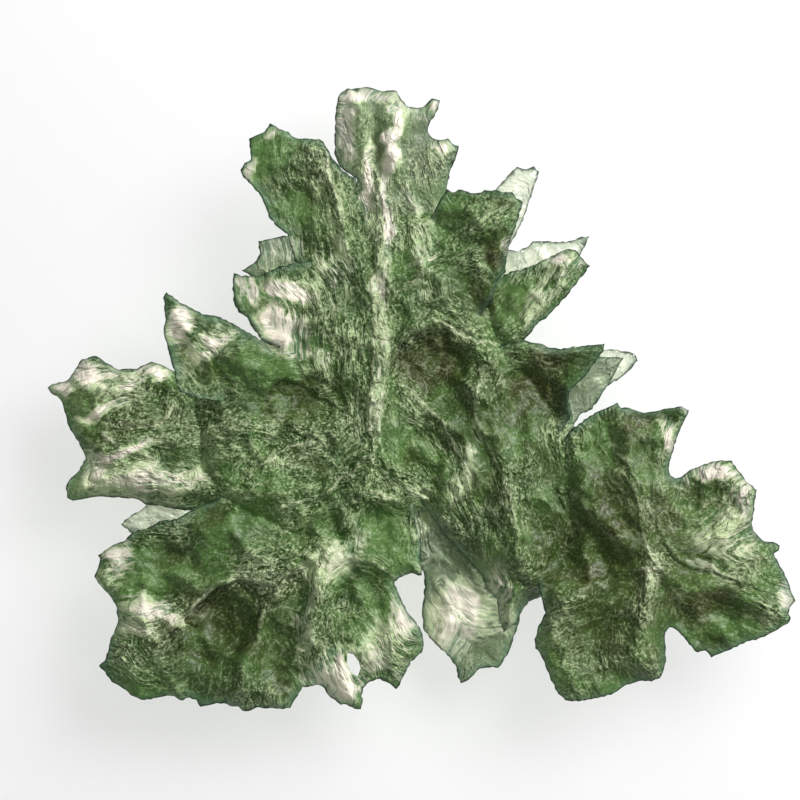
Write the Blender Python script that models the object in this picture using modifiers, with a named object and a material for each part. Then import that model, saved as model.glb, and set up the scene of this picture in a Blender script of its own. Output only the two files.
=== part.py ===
"""A leaf-shaped moldavite: one piece of natural green glass, lobed and toothed like a thistle leaf.

The stone lies on its back. A thick trunk carries thin plates: the crown, the shoulders, the fins, the
side lobes and the two large lower leaves. Each plate has its own outline and is fat in the middle and
thin at its rim. Ridges run through them like veins, with hollows between. Their union is the stone,
which is cut flat below, on the small spot where it rests.

Metres, +Z up, X to the right and Y towards the crown, with the origin under the middle of the stone.
"""

from collections import namedtuple

import bmesh
import bpy
import numpy as np

MILLIMETRE = 0.001

# Driving dimensions
STONE_WIDTH = 37.2 * MILLIMETRE
RIM_HALF = 0.17 * MILLIMETRE
UPPER_SHOULDER = 0.6 * MILLIMETRE
LOWER_SHOULDER = 1.7 * MILLIMETRE
FOOT_DEPTH = 2.9 * MILLIMETRE
FOOT_RADIUS = 5.6 * MILLIMETRE

# The outlines are drawn on a map of the stone seen from above: x to the right, y down, and
# MAP_WIDTH units from the tip of the left lobe to the tip of the right leaf, 0.05 mm each.
MAP_WIDTH = 744.0
MAP_CENTRE = (421.0, 399.0)
UNIT = STONE_WIDTH / MAP_WIDTH
FOOT_PLACE = (400, 449)

# How strongly the ridges show below, and how much of the glass a hollow may take away at most.
UNDER_RIDGES = 0.7
MOST_CARVED_ABOVE = 0.55
MOST_CARVED_BELOW = 0.45

# How finely the plates are worked out, how finely they are joined, and the faces that are kept.
CELL = 0.36 * MILLIMETRE
VOXEL = 0.2 * MILLIMETRE
TRIANGLES = 9000
CREASE_ANGLE = 40

GLASS_GREEN = (0.12, 0.24, 0.09, 1.0)
GLASS_ROUGHNESS = 0.22

# rim: the rim's height above the floor. rise and drop: how far the middle of the upper and of the
# lower face lies above and below the rim. All three are in millimetres. slope: how much the plate
# climbs for each unit to the right and for each unit towards the crown.
Plate = namedtuple("Plate", "outline rim rise drop slope")

TRUNK = Plate(
    [
        (292, 262), (330, 228), (372, 208), (430, 205), (474, 214), (492, 245), (490, 290), (505, 335),
        (540, 362), (568, 392), (574, 425), (592, 470), (596, 530), (578, 572), (552, 590), (540, 597),
        (529, 602), (521, 612), (516, 624), (504, 632), (499, 618), (497, 600), (487, 588), (482, 575),
        (468, 560), (450, 541), (434, 520), (424, 506), (410, 530), (352, 556), (290, 552), (232, 520),
        (196, 470), (190, 410), (214, 368), (262, 340), (284, 306),
    ],
    5.0, 2.1, 2.9, (0.0, 0.0),
)
CROWN = Plate(
    [
        (345, 240), (352, 205), (357, 180), (349, 174), (340, 167), (335, 157), (335, 130), (336, 112),
        (339, 96), (348, 90), (356, 90), (364, 88), (373, 90), (381, 92), (397, 92), (401, 101),
        (407, 107), (413, 109), (420, 109), (426, 106), (432, 100), (440, 102), (438, 110), (434, 118),
        (429, 125), (428, 133), (432, 139), (440, 141), (448, 139), (454, 146), (459, 147), (456, 158),
        (450, 172), (447, 190), (452, 230), (430, 275), (385, 300), (352, 275),
    ],
    5.5, 1.0, 1.6, (0.0, 0.08),
)
UPPER_LEFT_LOBE = Plate(
    [
        (356, 181), (344, 173), (334, 162), (328, 151), (324, 144), (320, 141), (300, 141), (293, 138),
        (289, 134), (280, 131), (271, 126), (265, 134), (257, 138), (250, 141), (251, 152), (252, 162),
        (246, 165), (242, 172), (245, 179), (254, 189), (261, 197), (267, 208), (270, 218), (278, 228),
        (288, 236), (296, 262), (325, 285), (362, 262), (370, 215),
    ],
    6.9, 0.4, 1.7, (-0.05, 0.05),
)
RIGHT_SHOULDER = Plate(
    [
        (420, 240), (438, 205), (447, 191), (452, 194), (461, 191), (470, 195), (478, 195), (484, 192),
        (494, 192), (502, 194), (511, 194), (516, 200), (522, 204), (519, 214), (516, 225), (512, 236),
        (508, 246), (506, 260), (505, 273), (497, 281), (492, 300), (470, 330), (430, 300),
    ],
    6.9, 0.6, 1.8, (0.04, 0.04),
)
RIGHT_SPIKE = Plate(
    [
        (488, 197), (500, 185), (510, 174), (517, 167), (523, 170), (530, 169), (534, 167), (539, 172),
        (535, 185), (529, 203), (523, 220), (515, 237), (506, 252), (478, 262), (452, 250), (458, 218),
    ],
    4.9, 0.4, 0.7, (-0.03, -0.04),
)
RIGHT_FIN_BACK = Plate(
    [
        (496, 250), (508, 249), (517, 251), (526, 248), (533, 242), (546, 241), (560, 242), (572, 241),
        (582, 237), (590, 236), (586, 246), (580, 256), (566, 268), (540, 284), (508, 306), (470, 312),
        (470, 268),
    ],
    4.1, 0.35, 0.6, (-0.05, 0.0),
)
RIGHT_FIN = Plate(
    [
        (482, 300), (496, 279), (510, 273), (528, 268), (545, 260), (557, 254), (566, 250), (575, 251),
        (582, 260), (589, 267), (580, 279), (569, 293), (556, 308), (545, 319), (539, 322), (531, 332),
        (523, 341), (512, 366), (480, 378), (455, 350),
    ],
    5.9, 0.8, 1.4, (0.02, 0.02),
)
RIGHT_ARM = Plate(
    [
        (500, 346), (523, 341), (530, 343), (541, 344), (547, 348), (560, 350), (572, 347), (590, 346),
        (604, 344), (602, 352), (594, 363), (586, 374), (578, 383), (569, 390), (567, 404), (570, 416),
        (556, 440), (515, 440), (480, 400), (480, 360),
    ],
    6.7, 0.6, 2.0, (0.0, 0.03),
)
RIGHT_ARM_FACET = Plate(
    [
        (560, 372), (582, 362), (600, 357), (624, 358), (617, 370), (609, 384), (600, 398), (592, 409),
        (580, 415), (572, 428), (552, 438), (530, 410), (535, 380),
    ],
    4.9, 0.7, 1.2, (-0.04, 0.0),
)
RIGHT_ARM_TIP = Plate(
    [
        (580, 356), (600, 350), (618, 349), (622, 352), (631, 352), (637, 356), (638, 361), (632, 368),
        (620, 379), (607, 387), (594, 398), (562, 408), (550, 380),
    ],
    3.9, 0.3, 0.6, (-0.06, 0.0),
)
RIGHT_LEAF = Plate(
    [
        (548, 470), (556, 448), (570, 430), (586, 418), (600, 410), (608, 407), (616, 403), (620, 408),
        (627, 408), (634, 410), (643, 413), (652, 412), (662, 409), (672, 408), (680, 406), (687, 411),
        (682, 421), (677, 433), (673, 445), (669, 458), (667, 468), (669, 475), (674, 478), (680, 477),
        (688, 470), (700, 465), (712, 461), (721, 460), (730, 461), (737, 471), (746, 482), (755, 490),
        (753, 500), (752, 512), (750, 522), (752, 530), (757, 537), (763, 541), (771, 542), (778, 545),
        (777, 550), (772, 553), (776, 562), (782, 572), (786, 582), (790, 592), (793, 600), (788, 607),
        (786, 613), (789, 617), (786, 623), (779, 627), (769, 633), (757, 638), (745, 641), (732, 647),
        (720, 652), (710, 656), (704, 649), (696, 652), (688, 643), (680, 634), (674, 628), (668, 626),
        (664, 632), (664, 646), (665, 660), (662, 671), (658, 677), (650, 680), (641, 679), (625, 684),
        (613, 692), (600, 696), (590, 698), (578, 700), (564, 699), (556, 690), (549, 676), (545, 665),
        (541, 655), (535, 647), (534, 638), (538, 625), (545, 612), (541, 598), (534, 575), (540, 520),
    ],
    6.5, 0.8, 2.3, (-0.03, 0.03),
)
LOWER_LOBE = Plate(
    [
        (424, 572), (425, 585), (424, 597), (422, 610), (423, 621), (423, 630), (432, 641), (441, 650),
        (450, 658), (457, 669), (458, 678), (461, 684), (468, 681), (474, 676), (480, 670), (487, 668),
        (499, 669), (503, 662), (508, 656), (513, 641), (518, 628), (521, 614), (525, 590), (520, 540),
        (490, 490), (440, 480), (404, 496), (402, 545),
    ],
    3.9, 0.6, 1.1, (0.0, 0.05),
)
LEFT_LEAF = Plate(
    [
        (422, 575), (411, 573), (402, 576), (394, 581), (398, 590), (403, 603), (410, 615), (418, 624),
        (422, 633), (424, 641), (422, 651), (417, 656), (411, 661), (405, 673), (400, 683), (396, 688),
        (391, 683), (380, 678), (370, 680), (363, 687), (362, 695), (363, 701), (361, 708), (355, 708),
        (347, 703), (341, 704), (335, 698), (329, 695), (325, 687), (318, 684), (311, 686), (303, 686),
        (300, 692), (294, 700), (291, 707), (280, 708), (265, 707), (257, 706), (250, 710), (243, 710),
        (239, 706), (231, 706), (225, 702), (214, 703), (201, 706), (197, 699), (190, 697), (181, 700),
        (175, 696), (165, 695), (155, 698), (142, 699), (134, 696), (127, 690), (118, 684), (113, 681),
        (108, 674), (100, 665), (106, 660), (110, 648), (111, 638), (116, 630), (119, 621), (118, 612),
        (117, 604), (112, 597), (106, 590), (99, 583), (96, 576), (99, 568), (102, 558), (99, 555),
        (108, 548), (118, 543), (124, 542), (131, 535), (139, 530), (151, 527), (161, 521), (178, 519),
        (192, 511), (205, 504), (215, 501), (250, 480), (320, 470), (380, 478), (412, 500), (421, 530),
        (421, 556),
    ],
    6.0, 0.9, 2.2, (0.03, 0.02),
)
LEFT_BACK_TOOTH = Plate(
    [
        (144, 507), (138, 512), (129, 517), (120, 525), (127, 530), (134, 536), (150, 546), (185, 552),
        (215, 530), (210, 490), (175, 488), (152, 495),
    ],
    4.2, 0.35, 0.6, (0.02, 0.0),
)
LEFT_LOBE = Plate(
    [
        (182, 372), (174, 371), (168, 368), (160, 364), (152, 362), (145, 365), (138, 369), (128, 369),
        (120, 370), (112, 366), (104, 361), (97, 356), (90, 358), (83, 360), (78, 366), (72, 375),
        (68, 381), (60, 383), (53, 384), (49, 388), (52, 393), (58, 397), (63, 402), (65, 412),
        (69, 424), (73, 433), (79, 442), (84, 452), (86, 459), (80, 470), (75, 476), (69, 481),
        (67, 489), (68, 498), (74, 501), (82, 499), (95, 497), (110, 497), (125, 498), (139, 499),
        (146, 504), (160, 506), (182, 510), (205, 512), (250, 505), (310, 490), (350, 455), (335, 410),
        (270, 380), (215, 372),
    ],
    5.3, 1.0, 1.8, (-0.03, 0.0),
)
LEFT_SPIKE = Plate(
    [
        (165, 299), (168, 293), (174, 297), (181, 303), (190, 308), (200, 313), (208, 316), (216, 316),
        (227, 321), (240, 328), (251, 334), (263, 341), (300, 372), (300, 410), (250, 440), (200, 425),
        (180, 400), (178, 386), (176, 371), (172, 358), (169, 346), (165, 334), (167, 320), (166, 308),
    ],
    6.8, 0.5, 1.6, (0.02, -0.02),
)
LEFT_TONGUE = Plate(
    [
        (235, 274), (234, 290), (235, 304), (240, 313), (248, 319), (254, 329), (262, 340), (272, 346),
        (285, 348), (292, 343), (298, 335), (300, 322), (320, 318), (335, 295), (330, 268), (306, 262),
        (280, 268), (260, 277), (243, 277),
    ],
    6.9, 0.15, 0.6, (0.02, 0.0),
)
LEFT_NOTCHED_TAB = Plate(
    [
        (259, 242), (272, 239), (287, 236), (304, 232), (345, 245), (345, 290), (310, 300), (275, 283),
        (254, 278), (242, 271), (250, 266), (257, 261), (260, 254),
    ],
    5.5, 0.5, 0.9, (0.02, 0.0),
)
PLATES = [
    TRUNK, CROWN, UPPER_LEFT_LOBE, RIGHT_SHOULDER, RIGHT_SPIKE, RIGHT_FIN_BACK, RIGHT_FIN, RIGHT_ARM,
    RIGHT_ARM_FACET, RIGHT_ARM_TIP, RIGHT_LEAF, LOWER_LOBE, LEFT_LEAF, LEFT_BACK_TOOTH, LEFT_LOBE,
    LEFT_SPIKE, LEFT_TONGUE, LEFT_NOTCHED_TAB,
]

# A small hole goes right through the left leaf.
LEAF_HOLE = [(348, 651), (354, 653), (359, 660), (361, 667), (358, 676), (351, 672), (347, 662)]

# Ridges of the upper face: the route on the map, the height in millimetres and the width in map units.
Ridge = namedtuple("Ridge", "route height width")
RIDGES = [
    Ridge([(398, 105), (390, 150), (384, 200), (385, 260), (381, 330), (378, 400), (374, 455)], 1.0, 11),
    Ridge([(374, 455), (362, 500), (345, 545), (322, 575), (312, 640), (330, 690)], 0.9, 12),
    Ridge([(374, 455), (405, 480), (440, 520), (470, 560), (486, 585)], 0.8, 11),
    Ridge([(374, 460), (320, 492), (250, 494), (180, 490), (90, 488)], 0.8, 14),
    Ridge([(330, 430), (260, 428), (190, 432), (120, 450), (84, 445)], 0.6, 14),
    Ridge([(340, 545), (290, 565), (230, 578), (180, 610), (122, 618)], 0.9, 14),
    Ridge([(284, 582), (264, 622), (250, 655), (236, 700)], 0.8, 11),
    Ridge([(345, 550), (375, 560), (396, 590), (412, 630)], 0.6, 12),
    Ridge([(645, 560), (640, 510), (628, 465), (616, 412)], 0.8, 12),
    Ridge([(645, 545), (660, 480), (676, 430), (684, 411)], 0.6, 11),
    Ridge([(645, 555), (602, 525), (576, 480), (566, 440)], 0.7, 12),
    Ridge([(650, 550), (700, 540), (742, 516), (752, 492)], 0.7, 12),
    Ridge([(650, 565), (705, 580), (760, 604), (788, 612)], 0.8, 12),
    Ridge([(645, 565), (640, 610), (636, 650), (650, 678)], 0.7, 13),
    Ridge([(640, 565), (600, 585), (560, 600), (545, 614)], 0.7, 12),
    Ridge([(490, 352), (525, 325), (548, 290), (572, 256)], 0.6, 10),
    Ridge([(490, 352), (540, 352), (600, 348)], 0.5, 11),
    Ridge([(385, 290), (430, 262), (478, 225), (512, 202)], 0.7, 12),
    Ridge([(382, 310), (345, 240), (334, 195), (318, 150)], 0.6, 11),
    Ridge([(398, 350), (415, 334), (432, 326), (458, 342), (492, 352)], 0.8, 10),
    Ridge([(470, 385), (492, 425), (505, 470), (520, 560)], 0.6, 12),
]

# Hollows of the upper face: the centre and the two half widths on the map, the turn from x in degrees
# and the depth in millimetres.
Hollow = namedtuple("Hollow", "centre reach turn depth")
HOLLOWS = [
    Hollow((432, 372), (42, 34), 20, 1.3),
    Hollow((532, 398), (36, 28), 30, 1.2),
    Hollow((312, 402), (50, 30), 15, 1.1),
    Hollow((208, 392), (26, 42), 0, 0.8),
    Hollow((208, 620), (58, 34), -32, 1.2),
    Hollow((284, 662), (26, 40), 15, 0.9),
    Hollow((165, 562), (30, 24), 40, 0.8),
    Hollow((494, 258), (16, 30), 8, 0.8),
    Hollow((606, 445), (24, 34), 25, 0.8),
    Hollow((655, 418), (26, 14), 0, 0.5),
    Hollow((585, 550), (34, 42), 35, 1.0),
    Hollow((700, 508), (38, 24), -15, 0.7),
    Hollow((712, 620), (46, 18), 15, 0.8),
    Hollow((594, 645), (34, 32), 0, 0.9),
    Hollow((304, 190), (20, 34), -25, 0.7),
    Hollow((376, 150), (9, 30), 0, 0.5),
    Hollow((370, 520), (26, 18), -30, 0.6),
    Hollow((370, 618), (24, 20), 0, 0.6),
    Hollow((428, 455), (22, 34), -20, 0.9),
    Hollow((466, 520), (20, 34), -30, 0.7),
    Hollow((560, 366), (22, 12), 10, 0.5),
]

# Hollows of the lower face, given in the same way.
UNDER_HOLLOWS = [
    Hollow((420, 285), (40, 24), 20, 1.1),
    Hollow((352, 300), (24, 34), 0, 1.0),
    Hollow((470, 330), (26, 34), -20, 1.2),
    Hollow((530, 405), (26, 36), 10, 1.2),
    Hollow((262, 396), (34, 24), -25, 1.2),
    Hollow((244, 474), (36, 20), 5, 1.1),
    Hollow((316, 520), (32, 18), -20, 1.0),
    Hollow((520, 480), (22, 34), 0, 1.1),
    Hollow((470, 520), (18, 30), 30, 0.9),
    Hollow((190, 620), (44, 34), 15, 1.2),
    Hollow((290, 620), (30, 38), -20, 1.1),
    Hollow((372, 600), (26, 34), 30, 1.0),
    Hollow((600, 480), (30, 38), 20, 1.2),
    Hollow((690, 560), (44, 26), -15, 1.1),
    Hollow((600, 640), (36, 30), 0, 1.0),
    Hollow((655, 440), (26, 20), 0, 0.8),
    Hollow((115, 420), (36, 22), 10, 0.9),
    Hollow((150, 468), (34, 16), 0, 0.8),
    Hollow((395, 160), (20, 36), 0, 0.9),
    Hollow((300, 180), (22, 34), -25, 0.9),
    Hollow((540, 560), (26, 26), 30, 0.9),
]


def to_metres(map_points):
    """Map points as places in the stone's own frame, in metres."""
    points = np.array(map_points, float).reshape(-1, 2)
    return (points - MAP_CENTRE) * (UNIT, -UNIT)


def distance_to_route(places, route, closed=False):
    """The distance from each place to the nearest of the route's straight runs."""
    starts = route if closed else route[:-1]
    ends = np.roll(route, -1, axis=0) if closed else route[1:]
    nearest = np.full(len(places), np.inf)
    for start, end in zip(starts, ends):
        run = end - start
        share = np.clip((places - start) @ run / (run @ run), 0, 1)
        nearest = np.minimum(nearest, np.linalg.norm(places - start - share[:, None] * run, axis=1))
    return nearest


def is_inside(places, outline):
    """True where a place lies in the outline, by counting the sides that a ray to the right crosses."""
    inside = np.zeros(len(places), bool)
    for start, end in zip(outline, np.roll(outline, -1, axis=0)):
        spans = (start[1] > places[:, 1]) != (end[1] > places[:, 1])
        rise = end[1] - start[1] or 1.0
        crossing = start[0] + (places[:, 1] - start[1]) / rise * (end[0] - start[0])
        inside ^= spans & (places[:, 0] < crossing)
    return inside


def ridge_relief(places):
    """How far the highest ridge at each place stands up: a bell across each ridge's route."""
    relief = np.zeros(len(places))
    for ridge in RIDGES:
        away = distance_to_route(places, to_metres(ridge.route)) / (ridge.width * UNIT)
        relief = np.maximum(relief, ridge.height * MILLIMETRE * np.exp(-away**2))
    return relief


def hollow_relief(places, hollows):
    """How deep the deepest hollow at each place is: a bowl with a flat bottom and an oval rim."""
    relief = np.zeros(len(places))
    for hollow in hollows:
        turn = np.radians(hollow.turn)
        along = np.array((np.cos(turn), np.sin(turn)))
        across = np.array((-np.sin(turn), np.cos(turn)))
        offset = places - to_metres(hollow.centre)
        reach = np.hypot(
            offset @ along / (hollow.reach[0] * UNIT),
            offset @ across / (hollow.reach[1] * UNIT),
        )
        relief = np.maximum(relief, hollow.depth * MILLIMETRE * np.exp(-(reach**4)))
    return relief


def plate_faces(plate, places):
    """The heights of a plate's upper and lower face at each place.

    Both leave the rim steeply and level out, as 1 - e^(-distance from the rim / shoulder). Ridges
    stand out of both faces and hollows are sunk into them, all fading out towards the rim.
    """
    outline = to_metres(plate.outline)
    depth = distance_to_route(places, outline, closed=True) * is_inside(places, outline)
    upper_share = 1 - np.exp(-depth / UPPER_SHOULDER)
    lower_share = 1 - np.exp(-depth / LOWER_SHOULDER)
    rim = plate.rim * MILLIMETRE + (places - outline.mean(axis=0)) @ np.array(plate.slope)
    thickness = (plate.rise * upper_share + plate.drop * lower_share) * MILLIMETRE
    ridges = ridge_relief(places)
    carved = np.minimum(hollow_relief(places, HOLLOWS), MOST_CARVED_ABOVE * thickness)
    hollowed = np.minimum(hollow_relief(places, UNDER_HOLLOWS), MOST_CARVED_BELOW * thickness)
    foot = np.exp(-((np.linalg.norm(places - to_metres(FOOT_PLACE), axis=1) / FOOT_RADIUS) ** 2))
    under_relief = (1 - foot) * (UNDER_RIDGES * ridges - hollowed)
    upper = rim + RIM_HALF + upper_share * (plate.rise * MILLIMETRE + ridges - carved)
    lower = rim - RIM_HALF - lower_share * (plate.drop * MILLIMETRE + under_relief)
    if plate is TRUNK:
        lower = lower - FOOT_DEPTH * foot
    return upper, lower


def link_mesh(name, mesh, collection):
    """A new object with that mesh, in that collection."""
    made = bpy.data.objects.new(name, mesh)
    collection.objects.link(made)
    return made


def relief_slab(name, plate, collection):
    """A closed slab over the plate's box: a grid, its raised copy, and both shaped to the plate's faces."""
    outline = to_metres(plate.outline)
    low = outline.min(axis=0) - CELL
    high = outline.max(axis=0) + CELL
    cells = np.ceil((high - low) / CELL).astype(int)
    shape = bmesh.new()
    bmesh.ops.create_grid(shape, x_segments=int(cells[0]), y_segments=int(cells[1]), size=0.5)
    raised = bmesh.ops.extrude_face_region(shape, geom=shape.faces[:])["geom"]
    bmesh.ops.translate(shape, verts=[v for v in raised if isinstance(v, bmesh.types.BMVert)], vec=(0, 0, 1))
    bmesh.ops.recalc_face_normals(shape, faces=shape.faces)
    mesh = bpy.data.meshes.new(name)
    shape.to_mesh(mesh)
    shape.free()
    corners = np.empty(len(mesh.vertices) * 3)
    mesh.vertices.foreach_get("co", corners)
    corners = corners.reshape(-1, 3)
    is_upper = corners[:, 2] > 0.5
    corners[:, :2] = low + (corners[:, :2] + 0.5) * (high - low)
    upper, lower = plate_faces(plate, corners[:, :2])
    corners[:, 2] = np.where(is_upper, upper, lower)
    mesh.vertices.foreach_set("co", corners.ravel())
    return link_mesh(name, mesh, collection)


def outline_prism(name, map_points, collection):
    """An outline as a filled flat curve, drawn out taller than the stone."""
    outline = to_metres(map_points)
    curve = bpy.data.curves.new(name, "CURVE")
    curve.dimensions = "2D"
    curve.fill_mode = "BOTH"
    curve.extrude = STONE_WIDTH
    spline = curve.splines.new("POLY")
    spline.points.add(len(outline) - 1)
    spline.points.foreach_set("co", np.insert(outline, 2, [[0], [1]], axis=1).ravel())
    spline.use_cyclic_u = True
    drawn = bpy.data.objects.new(name, curve)
    collection.objects.link(drawn)
    bpy.context.view_layer.update()
    solid = bpy.data.meshes.new_from_object(drawn.evaluated_get(bpy.context.evaluated_depsgraph_get()))
    bpy.data.objects.remove(drawn)
    shape = bmesh.new()
    shape.from_mesh(solid)
    bmesh.ops.remove_doubles(shape, verts=shape.verts, dist=UNIT / 10)
    bmesh.ops.recalc_face_normals(shape, faces=shape.faces)
    shape.to_mesh(solid)
    shape.free()
    return link_mesh(name, solid, collection)


def bake_modifiers(target):
    """Target's mesh becomes what its modifiers make of it."""
    bpy.context.view_layer.update()
    result = bpy.data.meshes.new_from_object(target.evaluated_get(bpy.context.evaluated_depsgraph_get()))
    target.modifiers.clear()
    target.data = result


def combine(target, operation, other):
    """Target becomes itself and the other object, intersected, joined or cut, and the other goes.

    The exact solver leaves open edges where many thin plates cross, so this is the manifold one.
    """
    boolean = target.modifiers.new(operation.lower(), "BOOLEAN")
    boolean.operation = operation
    boolean.solver = "MANIFOLD"
    boolean.object = other
    bake_modifiers(target)
    bpy.data.objects.remove(other)


def weather(stone):
    """Rounds the seams between the plates, then keeps only the faces that the shape needs."""
    remesh = stone.modifiers.new("remesh", "REMESH")
    remesh.mode = "VOXEL"
    remesh.voxel_size = VOXEL
    bake_modifiers(stone)
    thin_out = stone.modifiers.new("decimate", "DECIMATE")
    thin_out.ratio = TRIANGLES / (2 * len(stone.data.polygons))
    bake_modifiers(stone)


def floor_block(collection):
    """A block whose upper face is the floor, to cut the stone's resting spot flat."""
    bpy.ops.mesh.primitive_cube_add(size=STONE_WIDTH * 2, location=(0, 0, -STONE_WIDTH))
    block = bpy.context.object
    for home in block.users_collection:
        home.objects.unlink(block)
    collection.objects.link(block)
    return block


def centre_on_origin(stone):
    """Moves the stone's points sideways until the middle of its box is over the origin."""
    corners = np.empty(len(stone.data.vertices) * 3)
    stone.data.vertices.foreach_get("co", corners)
    corners = corners.reshape(-1, 3)
    corners[:, :2] -= (corners[:, :2].min(axis=0) + corners[:, :2].max(axis=0)) / 2
    stone.data.vertices.foreach_set("co", corners.ravel())


def glass():
    """Bottle-green natural glass."""
    material = bpy.data.materials.new("moldavite_glass")
    material.use_nodes = True
    shader = material.node_tree.nodes["Principled BSDF"]
    shader.inputs["Base Color"].default_value = GLASS_GREEN
    shader.inputs["Roughness"].default_value = GLASS_ROUGHNESS
    shader.inputs["Metallic"].default_value = 0.0
    return material


def clear_scene():
    """Removes what the scene holds."""
    for old in list(bpy.data.objects):
        bpy.data.objects.remove(old)


def main():
    clear_scene()
    parts = bpy.data.collections.new("moldavite")
    bpy.context.scene.collection.children.link(parts)
    stone = None
    for number, plate in enumerate(PLATES):
        slab = relief_slab(f"slab_{number}", plate, parts)
        combine(slab, "INTERSECT", outline_prism(f"prism_{number}", plate.outline, parts))
        if stone is None:
            stone = slab
            stone.name = "moldavite"
        else:
            combine(stone, "UNION", slab)
    combine(stone, "DIFFERENCE", outline_prism("hole", LEAF_HOLE, parts))
    weather(stone)
    combine(stone, "DIFFERENCE", floor_block(parts))
    centre_on_origin(stone)
    stone.data.shade_smooth()
    stone.data.set_sharp_from_angle(angle=np.radians(CREASE_ANGLE))
    stone.data.materials.clear()
    stone.data.materials.append(glass())


main()
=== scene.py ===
"""Dresses the moldavite: a finely wrinkled piece of natural glass on a pale floor.

The stone is drawn on a map seen from above, x to the right and y down, 0.05 mm to a unit. Each plate
of the map has an upper and a lower face, worked out on a grid. The plates are clipped to their
outlines and joined into one closed body, which stands for the CAD solid.
"""

from collections import namedtuple
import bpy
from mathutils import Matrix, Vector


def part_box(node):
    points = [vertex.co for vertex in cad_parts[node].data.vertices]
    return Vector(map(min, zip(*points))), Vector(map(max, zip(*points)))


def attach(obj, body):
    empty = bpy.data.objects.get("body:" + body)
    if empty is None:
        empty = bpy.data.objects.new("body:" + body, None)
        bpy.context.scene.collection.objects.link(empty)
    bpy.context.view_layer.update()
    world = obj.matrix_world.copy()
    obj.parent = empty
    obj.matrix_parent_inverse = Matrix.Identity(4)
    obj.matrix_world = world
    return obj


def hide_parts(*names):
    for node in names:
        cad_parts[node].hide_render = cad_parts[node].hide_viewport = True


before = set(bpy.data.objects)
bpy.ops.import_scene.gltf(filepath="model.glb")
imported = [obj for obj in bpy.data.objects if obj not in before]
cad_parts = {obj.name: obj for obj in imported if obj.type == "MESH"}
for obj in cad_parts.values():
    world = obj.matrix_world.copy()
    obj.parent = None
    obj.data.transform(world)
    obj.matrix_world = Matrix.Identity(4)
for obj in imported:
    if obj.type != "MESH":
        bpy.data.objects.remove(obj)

from types import SimpleNamespace

import bmesh
import bpy
import numpy as np

bl_info = {
    "name": "Moldavite",
    "version": (1, 0, 0),
    "blender": (4, 5, 0),
    "location": "3D View > Sidebar > Moldavite",
    "description": "Builds a leaf-shaped moldavite and the plain stage that it lies on",
    "category": "Object",
}

MILLIMETRE = 0.001
STONE_NODE = "moldavite"
STONE_SLOT = "moldavite_glass"
STONE_BOX = [np.array(corner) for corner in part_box(STONE_NODE)]
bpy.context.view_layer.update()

# The map: its box around the stone, the stone's width and middle on it, and the size of one unit.
MAP_LOW = np.array((40.0, 80.0))
MAP_HIGH = np.array((802.0, 720.0))
STONE_MAP_WIDTH = 744.0
STONE_MAP_MIDDLE = np.array((421.0, 399.0))
STONE_WIDTH = 37.2 * MILLIMETRE
UNIT = STONE_WIDTH / STONE_MAP_WIDTH
PHOTO_MIDDLE = np.array((400.0, 400.0))
PHOTO_WIDTH = 800.0

# The foot that the stone rests on: its place on the map, its reach and how far it reaches down.
FOOT_PLACE = np.array((400.0, 449.0))
FOOT_RADIUS = 5.6 * MILLIMETRE
FOOT_DEPTH = 2.9 * MILLIMETRE

# How strongly the ridges show below, how much of the glass a hollow and a wrinkle may take away at
# most, and how far along the map the lower face takes its wrinkles from.
UNDER_RIDGES = 0.7
MOST_CARVED_ABOVE = 0.55
MOST_CARVED_BELOW = 0.45
MOST_WRINKLED = 0.3
UNDER_SHIFT = np.array((23.0, -17.0))

# How far the prisms that clip the plates reach up and down, and how often the joined mesh is mended
# at most.
PRISM_REACH = 20 * MILLIMETRE
MENDING_ROUNDS = 6

# How steeply hollows and zones end, and for how many of its half widths or widths an oval, a ridge or
# a ledge is worked out.
HOLLOW_STEEPNESS = 2.5
ZONE_STEEPNESS = 3
OVAL_MARGIN = 2.2
ROUTE_MARGIN = 3

# How many map units around its outline a plate's slab and a plate's points are looked for.
SLAB_MARGIN = 3
POINT_MARGIN = 2

# Both lamps stand to the upper right, the raking one lower and further out.
LAMP_PLACE = (0.12, 0.11, 0.24)
RAKING_PLACE = (0.2, 0.16, 0.16)

# The view is as wide as the photo at this height, which is that of the trunk's rim.
RIM_HEIGHT = 5 * MILLIMETRE

# rim: the rim's height above the floor. rise and drop: how far the middle of the upper and of the
# lower face lies above and below the rim. All three are in millimetres. slope: how much the plate
# climbs for each unit to the right and towards the crown. clear: how little colour its glass has,
# from 0 to 1. outline: on the map.
Plate = namedtuple("Plate", "name rim rise drop slope clear outline")

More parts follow.
